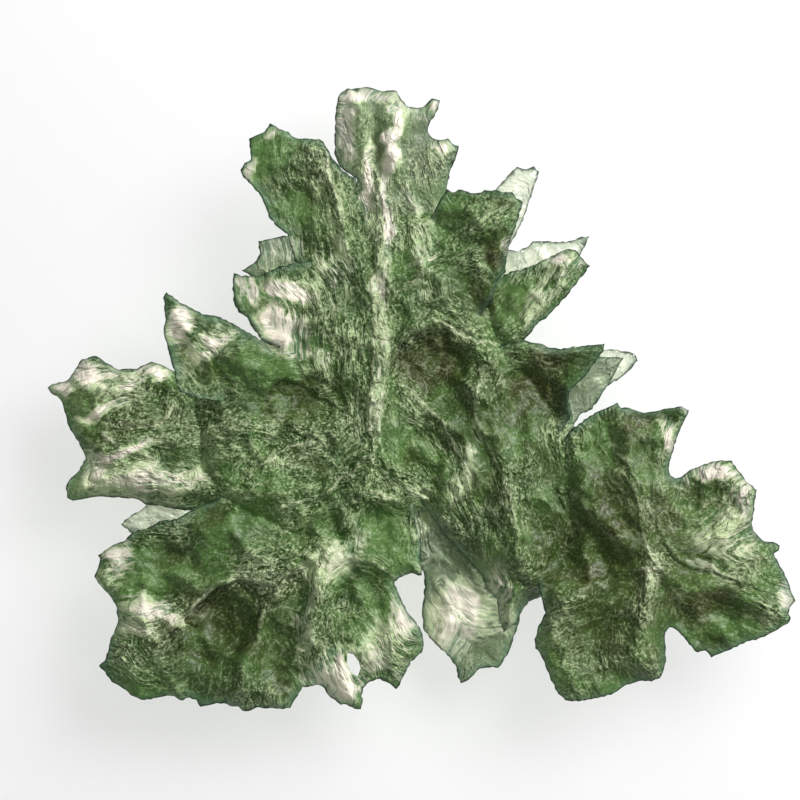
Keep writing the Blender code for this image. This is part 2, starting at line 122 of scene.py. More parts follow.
PLATES = [
    Plate("trunk", 5.0, 2.1, 2.9, (0.0, 0.0), 0.0, [
        (292, 262), (330, 228), (372, 208), (430, 205), (474, 214), (492, 245), (490, 290), (505, 335),
        (540, 362), (568, 392), (574, 425), (592, 470), (596, 530), (578, 572), (552, 590), (540, 597),
        (529, 602), (521, 612), (516, 624), (504, 632), (499, 618), (497, 600), (487, 588), (482, 575),
        (468, 560), (450, 541), (434, 520), (424, 506), (410, 530), (352, 556), (290, 552), (232, 520),
        (196, 470), (190, 410), (214, 368), (262, 340), (284, 306),
    ]),
    Plate("crown", 5.5, 1.0, 1.6, (0.0, 0.08), 0.1, [
        (345, 240), (352, 205), (357, 180), (349, 174), (340, 167), (335, 157), (335, 130), (336, 112),
        (339, 96), (348, 90), (356, 90), (364, 88), (373, 90), (381, 92), (397, 92), (401, 101),
        (407, 107), (413, 109), (420, 109), (426, 106), (432, 100), (440, 102), (438, 110), (434, 118),
        (429, 125), (428, 133), (432, 139), (440, 141), (448, 139), (454, 146), (459, 147), (456, 158),
        (450, 172), (447, 190), (452, 230), (430, 275), (385, 300), (352, 275),
    ]),
    Plate("upper_left_lobe", 6.9, 0.4, 1.7, (-0.05, 0.05), 0.0, [
        (356, 181), (344, 173), (334, 162), (328, 151), (324, 144), (320, 141), (300, 141), (293, 138),
        (289, 134), (280, 131), (271, 126), (265, 134), (257, 138), (250, 141), (251, 152), (252, 162),
        (246, 165), (242, 172), (245, 179), (254, 189), (261, 197), (267, 208), (270, 218), (278, 228),
        (288, 236), (296, 262), (325, 285), (362, 262), (370, 215),
    ]),
    Plate("right_shoulder", 6.9, 0.6, 1.8, (0.04, 0.04), 0.0, [
        (420, 240), (438, 205), (447, 191), (452, 194), (461, 191), (470, 195), (478, 195), (484, 192),
        (494, 192), (502, 194), (511, 194), (516, 200), (522, 204), (519, 214), (516, 225), (512, 236),
        (508, 246), (506, 260), (505, 273), (497, 281), (492, 300), (470, 330), (430, 300),
    ]),
    Plate("right_spike", 4.9, 0.4, 0.7, (-0.03, -0.04), 1.0, [
        (488, 197), (500, 185), (510, 174), (517, 167), (523, 170), (530, 169), (534, 167), (539, 172),
        (535, 185), (529, 203), (523, 220), (515, 237), (506, 252), (478, 262), (452, 250), (458, 218),
    ]),
    Plate("right_fin_back", 4.1, 0.35, 0.6, (-0.05, 0.0), 1.0, [
        (496, 250), (508, 249), (517, 251), (526, 248), (533, 242), (546, 241), (560, 242), (572, 241),
        (582, 237), (590, 236), (586, 246), (580, 256), (566, 268), (540, 284), (508, 306), (470, 312),
        (470, 268),
    ]),
    Plate("right_fin", 5.9, 0.8, 1.4, (0.02, 0.02), 0.0, [
        (482, 300), (496, 279), (510, 273), (528, 268), (545, 260), (557, 254), (566, 250), (575, 251),
        (582, 260), (589, 267), (580, 279), (569, 293), (556, 308), (545, 319), (539, 322), (531, 332),
        (523, 341), (512, 366), (480, 378), (455, 350),
    ]),
    Plate("right_arm", 6.7, 0.6, 2.0, (0.0, 0.03), 0.0, [
        (500, 346), (523, 341), (530, 343), (541, 344), (547, 348), (560, 350), (572, 347), (590, 346),
        (604, 344), (602, 352), (594, 363), (586, 374), (578, 383), (569, 390), (567, 404), (570, 416),
        (556, 440), (515, 440), (480, 400), (480, 360),
    ]),
    Plate("right_arm_facet", 4.9, 0.7, 1.2, (-0.04, 0.0), 0.25, [
        (560, 372), (582, 362), (600, 357), (624, 358), (617, 370), (609, 384), (600, 398), (592, 409),
        (580, 415), (572, 428), (552, 438), (530, 410), (535, 380),
    ]),
    Plate("right_arm_tip", 3.9, 0.3, 0.6, (-0.06, 0.0), 1.0, [
        (580, 356), (600, 350), (618, 349), (622, 352), (631, 352), (637, 356), (638, 361), (632, 368),
        (620, 379), (607, 387), (594, 398), (562, 408), (550, 380),
    ]),
    Plate("right_leaf", 6.5, 0.8, 2.3, (-0.03, 0.03), 0.0, [
        (548, 470), (556, 448), (570, 430), (586, 418), (600, 410), (608, 407), (616, 403), (620, 408),
        (627, 408), (634, 410), (643, 413), (652, 412), (662, 409), (672, 408), (680, 406), (687, 411),
        (682, 421), (677, 433), (673, 445), (669, 458), (667, 468), (669, 475), (674, 478), (680, 477),
        (688, 470), (700, 465), (712, 461), (721, 460), (730, 461), (737, 471), (746, 482), (755, 490),
        (753, 500), (752, 512), (750, 522), (752, 530), (757, 537), (763, 541), (771, 542), (778, 545),
        (777, 550), (772, 553), (776, 562), (782, 572), (786, 582), (790, 592), (793, 600), (788, 607),
        (786, 613), (789, 617), (786, 623), (779, 627), (769, 633), (757, 638), (745, 641), (732, 647),
        (720, 652), (710, 656), (704, 649), (696, 652), (688, 643), (680, 634), (674, 628), (668, 626),
        (664, 632), (664, 646), (665, 660), (662, 671), (658, 677), (650, 680), (641, 679), (625, 684),
        (613, 692), (600, 696), (590, 698), (578, 700), (564, 699), (556, 690), (549, 676), (545, 665),
        (541, 655), (535, 647), (534, 638), (538, 625), (545, 612), (541, 598), (534, 575), (540, 520),
    ]),
    Plate("lower_lobe", 3.9, 0.6, 1.1, (0.0, 0.05), 0.15, [
        (424, 572), (425, 585), (424, 597), (422, 610), (423, 621), (423, 630), (432, 641), (441, 650),
        (450, 658), (457, 669), (458, 678), (461, 684), (468, 681), (474, 676), (480, 670), (487, 668),
        (499, 669), (503, 662), (508, 656), (513, 641), (518, 628), (521, 614), (525, 590), (520, 540),
        (490, 490), (440, 480), (404, 496), (402, 545),
    ]),
    Plate("left_leaf", 6.0, 0.9, 2.2, (0.03, 0.02), 0.0, [
        (422, 575), (411, 573), (402, 576), (394, 581), (398, 590), (403, 603), (410, 615), (418, 624),
        (422, 633), (424, 641), (422, 651), (417, 656), (411, 661), (405, 673), (400, 683), (396, 688),
        (391, 683), (380, 678), (370, 680), (363, 687), (362, 695), (363, 701), (361, 708), (355, 708),
        (347, 703), (341, 704), (335, 698), (329, 695), (325, 687), (318, 684), (311, 686), (303, 686),
        (300, 692), (294, 700), (291, 707), (280, 708), (265, 707), (257, 706), (250, 710), (243, 710),
        (239, 706), (231, 706), (225, 702), (214, 703), (201, 706), (197, 699), (190, 697), (181, 700),
        (175, 696), (165, 695), (155, 698), (142, 699), (134, 696), (127, 690), (118, 684), (113, 681),
        (108, 674), (100, 665), (106, 660), (110, 648), (111, 638), (116, 630), (119, 621), (118, 612),
        (117, 604), (112, 597), (106, 590), (99, 583), (96, 576), (99, 568), (102, 558), (99, 555),
        (108, 548), (118, 543), (124, 542), (131, 535), (139, 530), (151, 527), (161, 521), (178, 519),
        (192, 511), (205, 504), (215, 501), (250, 480), (320, 470), (380, 478), (412, 500), (421, 530),
        (421, 556),
    ]),
    Plate("left_back_tooth", 4.2, 0.35, 0.6, (0.02, 0.0), 0.9, [
        (144, 507), (138, 512), (129, 517), (120, 525), (127, 530), (134, 536), (150, 546), (185, 552),
        (215, 530), (210, 490), (175, 488), (152, 495),
    ]),
    Plate("left_lobe", 5.3, 1.0, 1.8, (-0.03, 0.0), 0.0, [
        (182, 372), (174, 371), (168, 368), (160, 364), (152, 362), (145, 365), (138, 369), (128, 369),
        (120, 370), (112, 366), (104, 361), (97, 356), (90, 358), (83, 360), (78, 366), (72, 375),
        (68, 381), (60, 383), (53, 384), (49, 388), (52, 393), (58, 397), (63, 402), (65, 412),
        (69, 424), (73, 433), (79, 442), (84, 452), (86, 459), (80, 470), (75, 476), (69, 481),
        (67, 489), (68, 498), (74, 501), (82, 499), (95, 497), (110, 497), (125, 498), (139, 499),
        (146, 504), (160, 506), (182, 510), (205, 512), (250, 505), (310, 490), (350, 455), (335, 410),
        (270, 380), (215, 372),
    ]),
    Plate("left_spike", 6.8, 0.5, 1.6, (0.02, -0.02), 0.0, [
        (165, 299), (168, 293), (174, 297), (181, 303), (190, 308), (200, 313), (208, 316), (216, 316),
        (227, 321), (240, 328), (251, 334), (263, 341), (282, 362), (264, 390), (228, 403), (198, 399),
        (182, 392), (178, 386), (176, 371), (172, 358), (169, 346), (165, 334), (167, 320), (166, 308),
    ]),
    Plate("left_tongue", 6.9, 0.3, 0.7, (0.02, 0.0), 0.0, [
        (235, 274), (234, 290), (235, 304), (240, 313), (248, 319), (254, 329), (262, 340), (272, 346),
        (285, 348), (292, 343), (298, 335), (300, 322), (320, 318), (335, 295), (330, 268), (306, 262),
        (280, 268), (260, 277), (243, 277),
    ]),
    Plate("left_notched_tab", 5.5, 0.5, 0.9, (0.02, 0.0), 0.15, [
        (259, 242), (272, 239), (287, 236), (304, 232), (345, 245), (345, 290), (310, 300), (275, 283),
        (254, 278), (242, 271), (250, 266), (257, 261), (260, 254),
    ]),
]

# A small hole goes right through the left leaf.
LEAF_HOLE = [(348, 651), (354, 653), (359, 660), (361, 667), (358, 676), (351, 672), (347, 662)]

# Broad ridges: the route on the map, the height in millimetres and the width in map units.
Ridge = namedtuple("Ridge", "route height width")
RIDGES = [
    Ridge([(398, 105), (390, 150), (384, 200), (385, 260), (381, 330), (378, 400), (374, 455)], 0.5, 12),
    Ridge([(374, 455), (362, 500), (345, 545), (322, 575), (312, 640), (330, 690)], 0.9, 12),
    Ridge([(374, 455), (405, 480), (440, 520), (470, 560), (486, 585)], 0.8, 11),
    Ridge([(374, 460), (320, 492), (250, 494), (180, 490), (90, 488)], 0.8, 14),
    Ridge([(330, 430), (260, 428), (190, 432), (120, 450), (84, 445)], 0.6, 14),
    Ridge([(340, 545), (290, 565), (230, 578), (180, 610), (122, 618)], 0.9, 14),
    Ridge([(284, 582), (264, 622), (250, 655), (236, 700)], 0.8, 11),
    Ridge([(345, 550), (375, 560), (396, 590), (412, 630)], 0.6, 12),
    Ridge([(645, 560), (640, 510), (628, 465), (616, 412)], 0.8, 12),
    Ridge([(645, 545), (660, 480), (676, 430), (684, 411)], 0.6, 11),
    Ridge([(645, 555), (602, 525), (576, 480), (566, 440)], 0.7, 12),
    Ridge([(650, 550), (700, 540), (742, 516), (752, 492)], 0.7, 12),
    Ridge([(650, 565), (705, 580), (760, 604), (788, 612)], 0.8, 12),
    Ridge([(645, 565), (640, 610), (636, 650), (650, 678)], 0.7, 13),
    Ridge([(640, 565), (600, 585), (560, 600), (545, 614)], 0.7, 12),
    Ridge([(490, 352), (525, 325), (548, 290), (572, 256)], 0.6, 10),
    Ridge([(490, 352), (540, 352), (600, 348)], 0.5, 11),
    Ridge([(385, 290), (430, 262), (478, 225), (512, 202)], 0.7, 12),
    Ridge([(382, 310), (345, 240), (334, 195), (318, 150)], 0.6, 11),
    Ridge([(398, 350), (415, 334), (432, 326), (458, 342), (492, 352)], 0.8, 10),
    Ridge([(470, 385), (492, 425), (505, 470), (520, 560)], 0.6, 12),
]

# Veins: narrow crests that stand out of the wrinkles, given as the ridges are.
VEINS = [
    Ridge([(377, 165), (379, 235), (378, 262), (374, 300), (373, 400), (369, 432)], 0.15, 2.6),
    Ridge([(390, 165), (392, 235), (390, 262), (386, 345), (385, 390), (380, 432)], 0.12, 2.0),
    Ridge([(384, 180), (385, 240), (383, 300), (380, 360), (376, 420)], 0.1, 7.0),
    Ridge([(407, 183), (411, 202), (418, 218)], 0.16, 3.5),
    Ridge([(411, 236), (418, 253), (423, 275), (428, 300)], 0.14, 2.2),
    Ridge([(432, 320), (456, 332), (480, 342), (498, 346)], 0.18, 2.0),
    Ridge([(548, 290), (542, 302), (532, 314), (523, 330)], 0.16, 2.0),
    Ridge([(277, 507), (301, 502), (326, 493), (340, 481), (352, 472), (365, 458)], 0.16, 2.2),
    Ridge([(250, 474), (277, 457), (291, 448), (306, 442), (322, 442)], 0.14, 2.2),
    Ridge([(246, 587), (272, 585), (287, 572), (306, 561), (319, 551)], 0.14, 2.4),
    Ridge([(260, 626), (267, 606), (277, 594), (284, 583)], 0.16, 2.0),
    Ridge([(304, 640), (307, 615), (312, 596), (319, 573), (327, 552), (336, 541)], 0.14, 3.5),
    Ridge([(345, 552), (358, 558), (373, 560), (387, 572), (395, 579)], 0.16, 2.0),
    Ridge([(354, 501), (364, 493), (377, 491), (397, 500)], 0.14, 2.0),
    Ridge([(374, 462), (385, 474), (393, 488)], 0.16, 2.0),
    Ridge([(407, 489), (415, 493), (425, 497)], 0.18, 2.2),
    Ridge([(415, 513), (419, 527), (422, 542), (424, 555)], 0.18, 2.2),
    Ridge([(155, 638), (178, 620), (200, 600), (218, 583), (240, 578), (275, 583)], 0.16, 2.4),
    Ridge([(571, 489), (585, 508), (601, 529), (619, 542), (632, 548)], 0.1, 2.0),
    Ridge([(559, 489), (569, 512), (581, 533)], 0.08, 2.0),
    Ridge([(627, 466), (636, 482), (646, 500), (652, 530)], 0.09, 2.0),
    Ridge([(621, 470), (632, 490), (640, 508)], 0.12, 2.0),
    Ridge([(609, 443), (617, 454), (627, 460)], 0.14, 3.0),
    Ridge([(636, 536), (645, 548), (655, 558)], 0.14, 5.0),
    Ridge([(664, 541), (672, 552), (684, 560), (712, 566), (738, 580)], 0.1, 2.4),
    Ridge([(105, 434), (125, 448), (150, 458)], 0.14, 3.0),
    Ridge([(95, 478), (140, 474), (190, 478)], 0.14, 3.0),
    Ridge([(120, 424), (145, 426), (168, 420), (174, 408)], 0.16, 2.4),
    Ridge([(325, 152), (333, 185), (341, 205), (343, 230), (347, 250)], 0.14, 3.0),
    Ridge([(404, 383), (424, 406), (443, 419), (447, 434), (466, 470)], 0.14, 2.2),
    Ridge([(497, 356), (481, 376), (475, 400), (477, 419), (491, 454), (509, 490), (514, 520)], 0.12, 2.0),
    Ridge([(466, 470), (470, 500), (478, 530), (484, 560)], 0.1, 2.6),
]

# Ledges: on the right-hand side of the route the face drops at once by so many millimetres, and
# climbs back over so many map units.
Ledge = namedtuple("Ledge", "route drop recovery")
LEDGES = [
    Ledge([(392, 356), (396, 346), (410, 337), (424, 330), (432, 327)], 0.55, 22),
    Ledge([(262, 408), (266, 396), (273, 384), (284, 378), (302, 384), (320, 396)], 0.45, 20),
    Ledge([(157, 639), (178, 622), (200, 602), (218, 585), (240, 580), (275, 585), (310, 556)], 0.5, 26),
    Ledge([(203, 663), (190, 655), (171, 658), (164, 654), (157, 640)], 0.4, 18),
    Ledge([(566, 380), (567, 396), (570, 408), (574, 418)], 0.45, 18),
    Ledge([(663, 541), (672, 557), (684, 565), (712, 571), (740, 582)], 0.35, 16),
    Ledge([(614, 571), (600, 579), (580, 584), (548, 576)], 0.35, 18),
    Ledge([(96, 417), (125, 423), (146, 425), (170, 418), (174, 405)], 0.3, 14),
    Ledge([(518, 574), (526, 584), (536, 590)], 0.3, 10),
    Ledge([(427, 500), (412, 488), (404, 482), (386, 492)], 0.35, 12),
    Ledge([(520, 206), (505, 200), (480, 206), (455, 208)], 0.3, 14),
    Ledge([(680, 416), (668, 422), (640, 420), (600, 424)], 0.25, 12),
    Ledge([(307, 546), (304, 530), (306, 520)], 0.3, 10),
    Ledge([(230, 512), (222, 520), (206, 522), (194, 532)], 0.3, 14),
]

# Ovals on the map, one to a row: the centre's x and y, the two half widths, the turn from x in degrees,
# and the strength, which is a hollow's depth in millimetres and a zone's share of its colour.
Oval = namedtuple("Oval", "centre reach turn strength")


def ovals(*rows):
    """The rows of a table as ovals."""
    return [Oval(row[:2], row[2:4], *row[4:]) for row in rows]


# Hollows of the upper face.
HOLLOWS = ovals(
    (432, 372, 42, 34, 20, 1.3), (532, 398, 36, 28, 30, 1.2), (312, 402, 50, 30, 15, 1.1),
    (208, 392, 26, 42, 0, 0.8), (208, 620, 58, 34, -32, 1.2), (284, 662, 26, 40, 15, 0.9),
    (165, 562, 30, 24, 40, 0.8), (494, 258, 16, 30, 8, 0.8), (606, 445, 24, 34, 25, 0.8),
    (655, 418, 26, 14, 0, 0.5), (585, 550, 34, 42, 35, 1.0), (700, 508, 38, 24, -15, 0.7),
    (712, 620, 46, 18, 15, 0.8), (594, 645, 34, 32, 0, 0.9), (304, 190, 20, 34, -25, 0.7),
    (376, 150, 9, 30, 0, 0.5), (370, 520, 26, 18, -30, 0.6), (370, 618, 24, 20, 0, 0.6),
    (428, 455, 22, 34, -20, 0.9), (466, 520, 20, 34, -30, 0.7), (560, 366, 22, 12, 10, 0.5),
)

# Hollows of the lower face.
UNDER_HOLLOWS = ovals(
    (420, 285, 40, 24, 20, 1.1), (352, 300, 24, 34, 0, 1.0), (470, 330, 26, 34, -20, 1.2),
    (530, 405, 26, 36, 10, 1.2), (262, 396, 34, 24, -25, 1.2), (244, 474, 36, 20, 5, 1.1),
    (316, 520, 32, 18, -20, 1.0), (520, 480, 22, 34, 0, 1.1), (470, 520, 18, 30, 30, 0.9),
    (190, 620, 44, 34, 15, 1.2), (290, 620, 30, 38, -20, 1.1), (372, 600, 26, 34, 30, 1.0),
    (600, 480, 30, 38, 20, 1.2), (690, 560, 44, 26, -15, 1.1), (600, 640, 36, 30, 0, 1.0),
    (655, 440, 26, 20, 0, 0.8), (115, 420, 36, 22, 10, 0.9), (150, 468, 34, 16, 0, 0.8),
    (395, 160, 20, 36, 0, 0.9), (300, 180, 22, 34, -25, 0.9), (540, 560, 26, 26, 30, 0.9),
)

# Where the glass is smooth, deep and olive.
OLIVE_ZONES = ovals(
    (436, 366, 40, 34, 20, 1.0), (532, 392, 34, 26, 20, 1.0), (548, 362, 32, 14, 0, 0.9),
    (495, 256, 13, 24, 5, 1.0), (478, 300, 16, 30, -15, 0.8), (505, 205, 20, 7, 10, 0.8),
    (300, 405, 34, 24, 20, 0.7), (340, 380, 18, 30, 0, 0.5), (380, 150, 6, 30, 0, 0.8),
    (420, 150, 14, 40, 0, 0.45), (374, 280, 5, 14, 0, 0.8), (388, 305, 8, 12, 0, 0.7),
    (312, 190, 20, 26, -20, 0.4), (185, 350, 12, 9, 0, 0.7), (140, 410, 30, 12, 0, 0.6),
    (98, 396, 14, 8, 0, 0.4), (118, 434, 34, 8, 16, 0.6), (212, 372, 15, 12, 0, 0.7),
    (215, 622, 56, 30, -28, 1.0), (216, 520, 20, 16, 0, 0.7), (170, 556, 18, 16, 40, 0.6),
    (307, 536, 8, 16, 0, 0.8), (411, 462, 14, 18, 0, 0.8), (275, 490, 20, 12, -20, 0.6),
    (312, 466, 24, 12, -30, 0.5), (278, 664, 16, 34, 15, 0.7), (628, 430, 12, 12, 0, 0.8),
    (645, 420, 34, 10, 2, 0.9), (626, 482, 9, 22, -30, 0.8), (600, 505, 16, 12, 30, 0.8),
    (582, 465, 20, 16, 0, 0.6), (570, 530, 16, 30, 20, 0.6), (622, 545, 24, 12, 0, 0.6),
    (705, 600, 40, 22, 20, 0.9), (690, 526, 30, 14, 0, 0.6), (612, 640, 34, 22, 0, 0.8),
    (570, 640, 18, 26, 0, 0.6), (388, 400, 10, 30, 0, 0.3), (492, 480, 20, 40, -20, 0.5),
    (640, 560, 140, 130, 0, 0.75), (500, 420, 80, 120, 0, 0.4), (230, 630, 90, 60, -20, 0.35),
)

# Where the glass is thin and nearly colourless.
PALE_ZONES = ovals(
    (344, 128, 9, 42, 0, 1.0), (366, 97, 30, 10, 0, 0.8), (404, 110, 14, 12, 30, 0.5),
    (436, 108, 9, 9, 0, 0.8), (446, 147, 16, 8, 0, 0.7), (384, 215, 5, 56, 0, 0.85),
    (369, 182, 6, 44, 0, 0.8), (250, 172, 7, 16, 0, 0.7), (273, 134, 9, 7, 0, 0.6),
    (250, 290, 18, 14, 0, 1.0), (290, 292, 32, 12, 0, 0.8), (282, 328, 26, 20, 0, 0.85),
    (280, 250, 26, 12, 0, 0.6), (180, 322, 15, 28, -8, 0.9), (216, 346, 24, 12, 35, 0.7),
    (90, 372, 40, 13, 0, 0.8), (150, 372, 26, 9, 0, 0.75), (102, 412, 34, 5, 24, 0.7),
    (128, 450, 34, 5, 28, 0.7), (132, 388, 24, 6, 12, 0.6), (64, 388, 16, 9, 0, 0.7),
    (98, 470, 20, 20, 0, 0.6), (118, 562, 16, 20, 0, 0.8), (158, 610, 44, 14, -16, 0.6),
    (140, 628, 26, 9, 0, 0.5), (345, 668, 20, 22, 0, 0.6), (398, 600, 8, 26, -10, 0.5),
    (455, 620, 30, 44, -20, 0.75), (500, 600, 16, 40, 0, 0.45), (335, 682, 34, 22, 0, 0.8),
    (405, 615, 10, 30, -20, 0.7), (373, 660, 14, 20, 30, 0.5), (672, 448, 8, 34, 20, 0.9),
    (684, 411, 8, 8, 0, 0.8), (712, 472, 30, 10, -10, 0.85), (742, 500, 12, 22, -10, 0.7),
    (786, 588, 7, 20, -15, 0.8), (612, 390, 10, 22, 35, 0.4), (422, 540, 8, 40, 0, 0.5),
    (550, 256, 34, 10, -15, 0.7), (510, 262, 8, 20, 0, 0.7), (393, 138, 7, 46, -10, 0.85),
    (412, 208, 6, 24, 14, 0.6), (424, 112, 10, 14, 0, 0.6), (380, 330, 8, 120, 0, 0.45),
    (302, 352, 36, 12, -20, 0.5), (336, 270, 22, 50, 0, 0.3), (420, 262, 18, 50, -12, 0.32),
    (96, 378, 50, 14, -8, 0.4), (150, 482, 66, 16, 4, 0.62), (335, 560, 44, 16, 35, 0.4),
    (305, 612, 12, 60, 0, 0.34), (380, 650, 40, 40, 0, 0.36), (724, 540, 44, 50, 0, 0.32),
    (548, 292, 40, 16, 40, 0.38), (650, 566, 16, 26, 0, 0.34), (468, 470, 10, 50, -20, 0.32),
)


def map_lattice(step):
    """The places of the map's lattice, a step apart, as rows of (x, y)."""
    across, down = np.meshgrid(
        np.arange(MAP_LOW[0], MAP_HIGH[0] + step, step),
        np.arange(MAP_LOW[1], MAP_HIGH[1] + step, step),
    )
    return np.stack([across, down], axis=-1)


# Fields of the map are arrays on this lattice, and the faces of the plates are as fine.
LATTICE_STEP = 2.0
PLACES = map_lattice(LATTICE_STEP)

# The flow is worked out on a coarser lattice. A ridge pulls it most within so many map units, and
# twice its angle strays by up to so many radians.
FLOW_STEP = 4.0
FLOW_NEAR = 5
FLOW_WANDER = 2.4


def sample(field, places, step=LATTICE_STEP):
    """A field at any places, by linear interpolation between the four lattice values around each."""
    spot = np.clip((places - MAP_LOW) / step, 0, np.array(field.shape[1::-1]) - 1.001)
    cell = spot.astype(int)
    share = spot - cell
    column, row = cell[..., 0], cell[..., 1]
    right, down = share[..., 0], share[..., 1]
    above = field[row, column] * (1 - right) + field[row, column + 1] * right
    below = field[row + 1, column] * (1 - right) + field[row + 1, column + 1] * right
    return above * (1 - down) + below * down


def smoothstep(low, high, value):
    """0 below low, 1 above high, and 3t^2 - 2t^3 between them."""
    share = np.clip((value - low) / (high - low), 0, 1)
    return share * share * (3 - 2 * share)


def soft_noise(seed, cell, places=PLACES, margin=4):
    """Random heights from -1 to 1, one to each square cell of so many map units, blended by smoothstep.

    There is a margin of so many cells around the map.
    """
    random = np.random.default_rng(seed)
    size = ((MAP_HIGH - MAP_LOW) / cell).astype(int) + 4 + 2 * margin
    heights = random.uniform(-1, 1, (size[1], size[0]))
    spot = (places - MAP_LOW) / cell + margin
    share = spot - np.floor(spot)
    eased = np.floor(spot) + share * share * (3 - 2 * share)
    return sample(heights, eased + MAP_LOW, 1.0)


def layered_noise(seed, cell, layers=3):
    """Soft noise at ever smaller cells, each half the size and half the strength of the last."""
    total = sum(soft_noise(seed + layer, cell / 2**layer) / 2**layer for layer in range(layers))
    return total / (2 - 0.5 ** (layers - 1))


def crumple(seed, cell, places):
    """Sharp folds: 1 - 2.2 |soft noise|, and finer folds on top that are strongest where those are high.

    Each layer's cells are turned another way, in radians, so that no fold follows the map's own
    directions. The margin of cells leaves room for the turn.
    """
    total = np.zeros(places.shape[:-1])
    strength = np.ones(places.shape[:-1])
    for layer in range(3):
        angle = 0.6 + 0.9 * layer
        turn = np.array([(np.cos(angle), np.sin(angle)), (-np.sin(angle), np.cos(angle))])
        turned = STONE_MAP_MIDDLE + (places - STONE_MAP_MIDDLE) @ turn
        fold = 1 - 2.2 * np.abs(soft_noise(seed + layer, cell / 2**layer, turned, margin=30))
        total += fold * strength / 2**layer
        strength = np.clip(0.5 + 0.5 * fold, 0.15, 1)
    return total


def route_reach(places, route, closed=False):
    """The distance from each place to the nearest run of a route, and on which side of it the place is.

    The side is 1 to the right of the run and -1 to the left of it.
    """
    points = np.array(route, float)
    starts = points if closed else points[:-1]
    ends = np.roll(points, -1, axis=0) if closed else points[1:]
    nearest = np.full(places.shape[:-1], np.inf)
    side = np.zeros(places.shape[:-1])
    for start, end in zip(starts, ends):
        run = end - start
        offset = places - start
        share = np.clip(offset @ run / (run @ run), 0, 1)
        away = np.hypot(offset[..., 0] - share * run[0], offset[..., 1] - share * run[1])
        closer = away < nearest
        side = np.where(closer, np.sign(offset[..., 1] * run[0] - offset[..., 0] * run[1]), side)
        nearest = np.where(closer, away, nearest)
    return nearest, side


def window_round(points, margin):
    """The slices of the lattice that hold some points, with a margin."""
    points = np.array(points, float)
    low = np.floor((points.min(axis=0) - margin - MAP_LOW) / LATTICE_STEP).astype(int).clip(0)
    high = np.ceil((points.max(axis=0) + margin - MAP_LOW) / LATTICE_STEP).astype(int) + 1
    return slice(low[1], high[1]), slice(low[0], high[0])


def ridge_field(ridges, places):
    """The height in metres of the highest ridge at each place: height e^-(distance / width)^2."""
    field = np.zeros(PLACES.shape[:2])
    for ridge in ridges:
        window = window_round(ridge.route, ROUTE_MARGIN * ridge.width)
        away, _ = route_reach(places[window], ridge.route)
        rise = ridge.height * MILLIMETRE * np.exp(-((away / ridge.width) ** 2))
        field[window] = np.maximum(field[window], rise)
    return field


def strand_field(wander):
    """The distance in map units from each place, wandering a little, to the nearest ridge or vein."""
    places = PLACES + wander
    nearest = np.full(PLACES.shape[:2], np.inf)
    for ridge in RIDGES + VEINS:
        away, _ = route_reach(places, ridge.route)
        nearest = np.minimum(nearest, away)
    return nearest


def ledge_field():
    """The depth in metres below the ledges: drop e^-(distance / recovery), on their right-hand side.

    The drop fades out over the last 0.4 of a recovery at both ends of the route.
    """
    field = np.zeros(PLACES.shape[:2])
    for ledge in LEDGES:
        route = np.array(ledge.route, float)
        window = window_round(route, ROUTE_MARGIN * ledge.recovery)
        away, side = route_reach(PLACES[window], route)
        ends = np.linalg.norm(PLACES[window][..., None, :] - route[[0, -1]], axis=-1).min(axis=-1)
        fade = smoothstep(0, 0.4 * ledge.recovery, ends)
        depth = ledge.drop * MILLIMETRE * np.exp(-away / ledge.recovery)
        depth *= smoothstep(-0.2, 1.6, side * away)
        field[window] = np.maximum(field[window], depth * fade)
    return field


def oval_reach(places, oval):
    """How far places are from an oval's centre, counted in its own half widths."""
    angle = np.radians(oval.turn)
    across = places[..., 0] - oval.centre[0]
    down = places[..., 1] - oval.centre[1]
    along = (across * np.cos(angle) - down * np.sin(angle)) / oval.reach[0]
    beside = (across * np.sin(angle) + down * np.cos(angle)) / oval.reach[1]
    return np.hypot(along, beside)


def oval_field(table, places, steepness, unit=1):
    """The value of the strongest oval at each place: strength e^-(reach^steepness), in the unit."""
    field = np.zeros(PLACES.shape[:2])
    for oval in table:
        window = window_round([oval.centre], OVAL_MARGIN * max(oval.reach))
        reach = oval_reach(places[window], oval)
        field[window] = np.maximum(field[window], oval.strength * unit * np.exp(-(reach**steepness)))
    return field


def flow_field():
    """Which way the glass flows at each place, as the cosine and sine of twice its angle.

    Each run of a ridge or vein pulls the flow its way, by 1 / (distance^2 + near^2)^1.5, and layered
    noise turns it.
    """
    places = map_lattice(FLOW_STEP)
    pull = np.zeros(places.shape)
    for ridge in RIDGES + VEINS:
        points = np.array(ridge.route, float)
        for start, end in zip(points[:-1], points[1:]):
            away, _ = route_reach(places, [start, end])
            angle = 2 * np.arctan2(end[1] - start[1], end[0] - start[0])
            weight = (away**2 + FLOW_NEAR**2) ** -1.5
            pull += weight[..., None] * (np.cos(angle), np.sin(angle))
    angle = np.arctan2(pull[..., 1], pull[..., 0]) + FLOW_WANDER * sample(layered_noise(71, 26), places)
    return np.stack([np.cos(angle), np.sin(angle)], axis=-1)


def headings(flow, places):
    """The flow's direction at each place, as a unit vector, either way along it."""
    twice = np.stack([sample(flow[..., part], places, FLOW_STEP) for part in (0, 1)], axis=-1)
    angle = np.arctan2(twice[..., 1], twice[..., 0]) / 2
    return np.stack([np.cos(angle), np.sin(angle)], axis=-1)


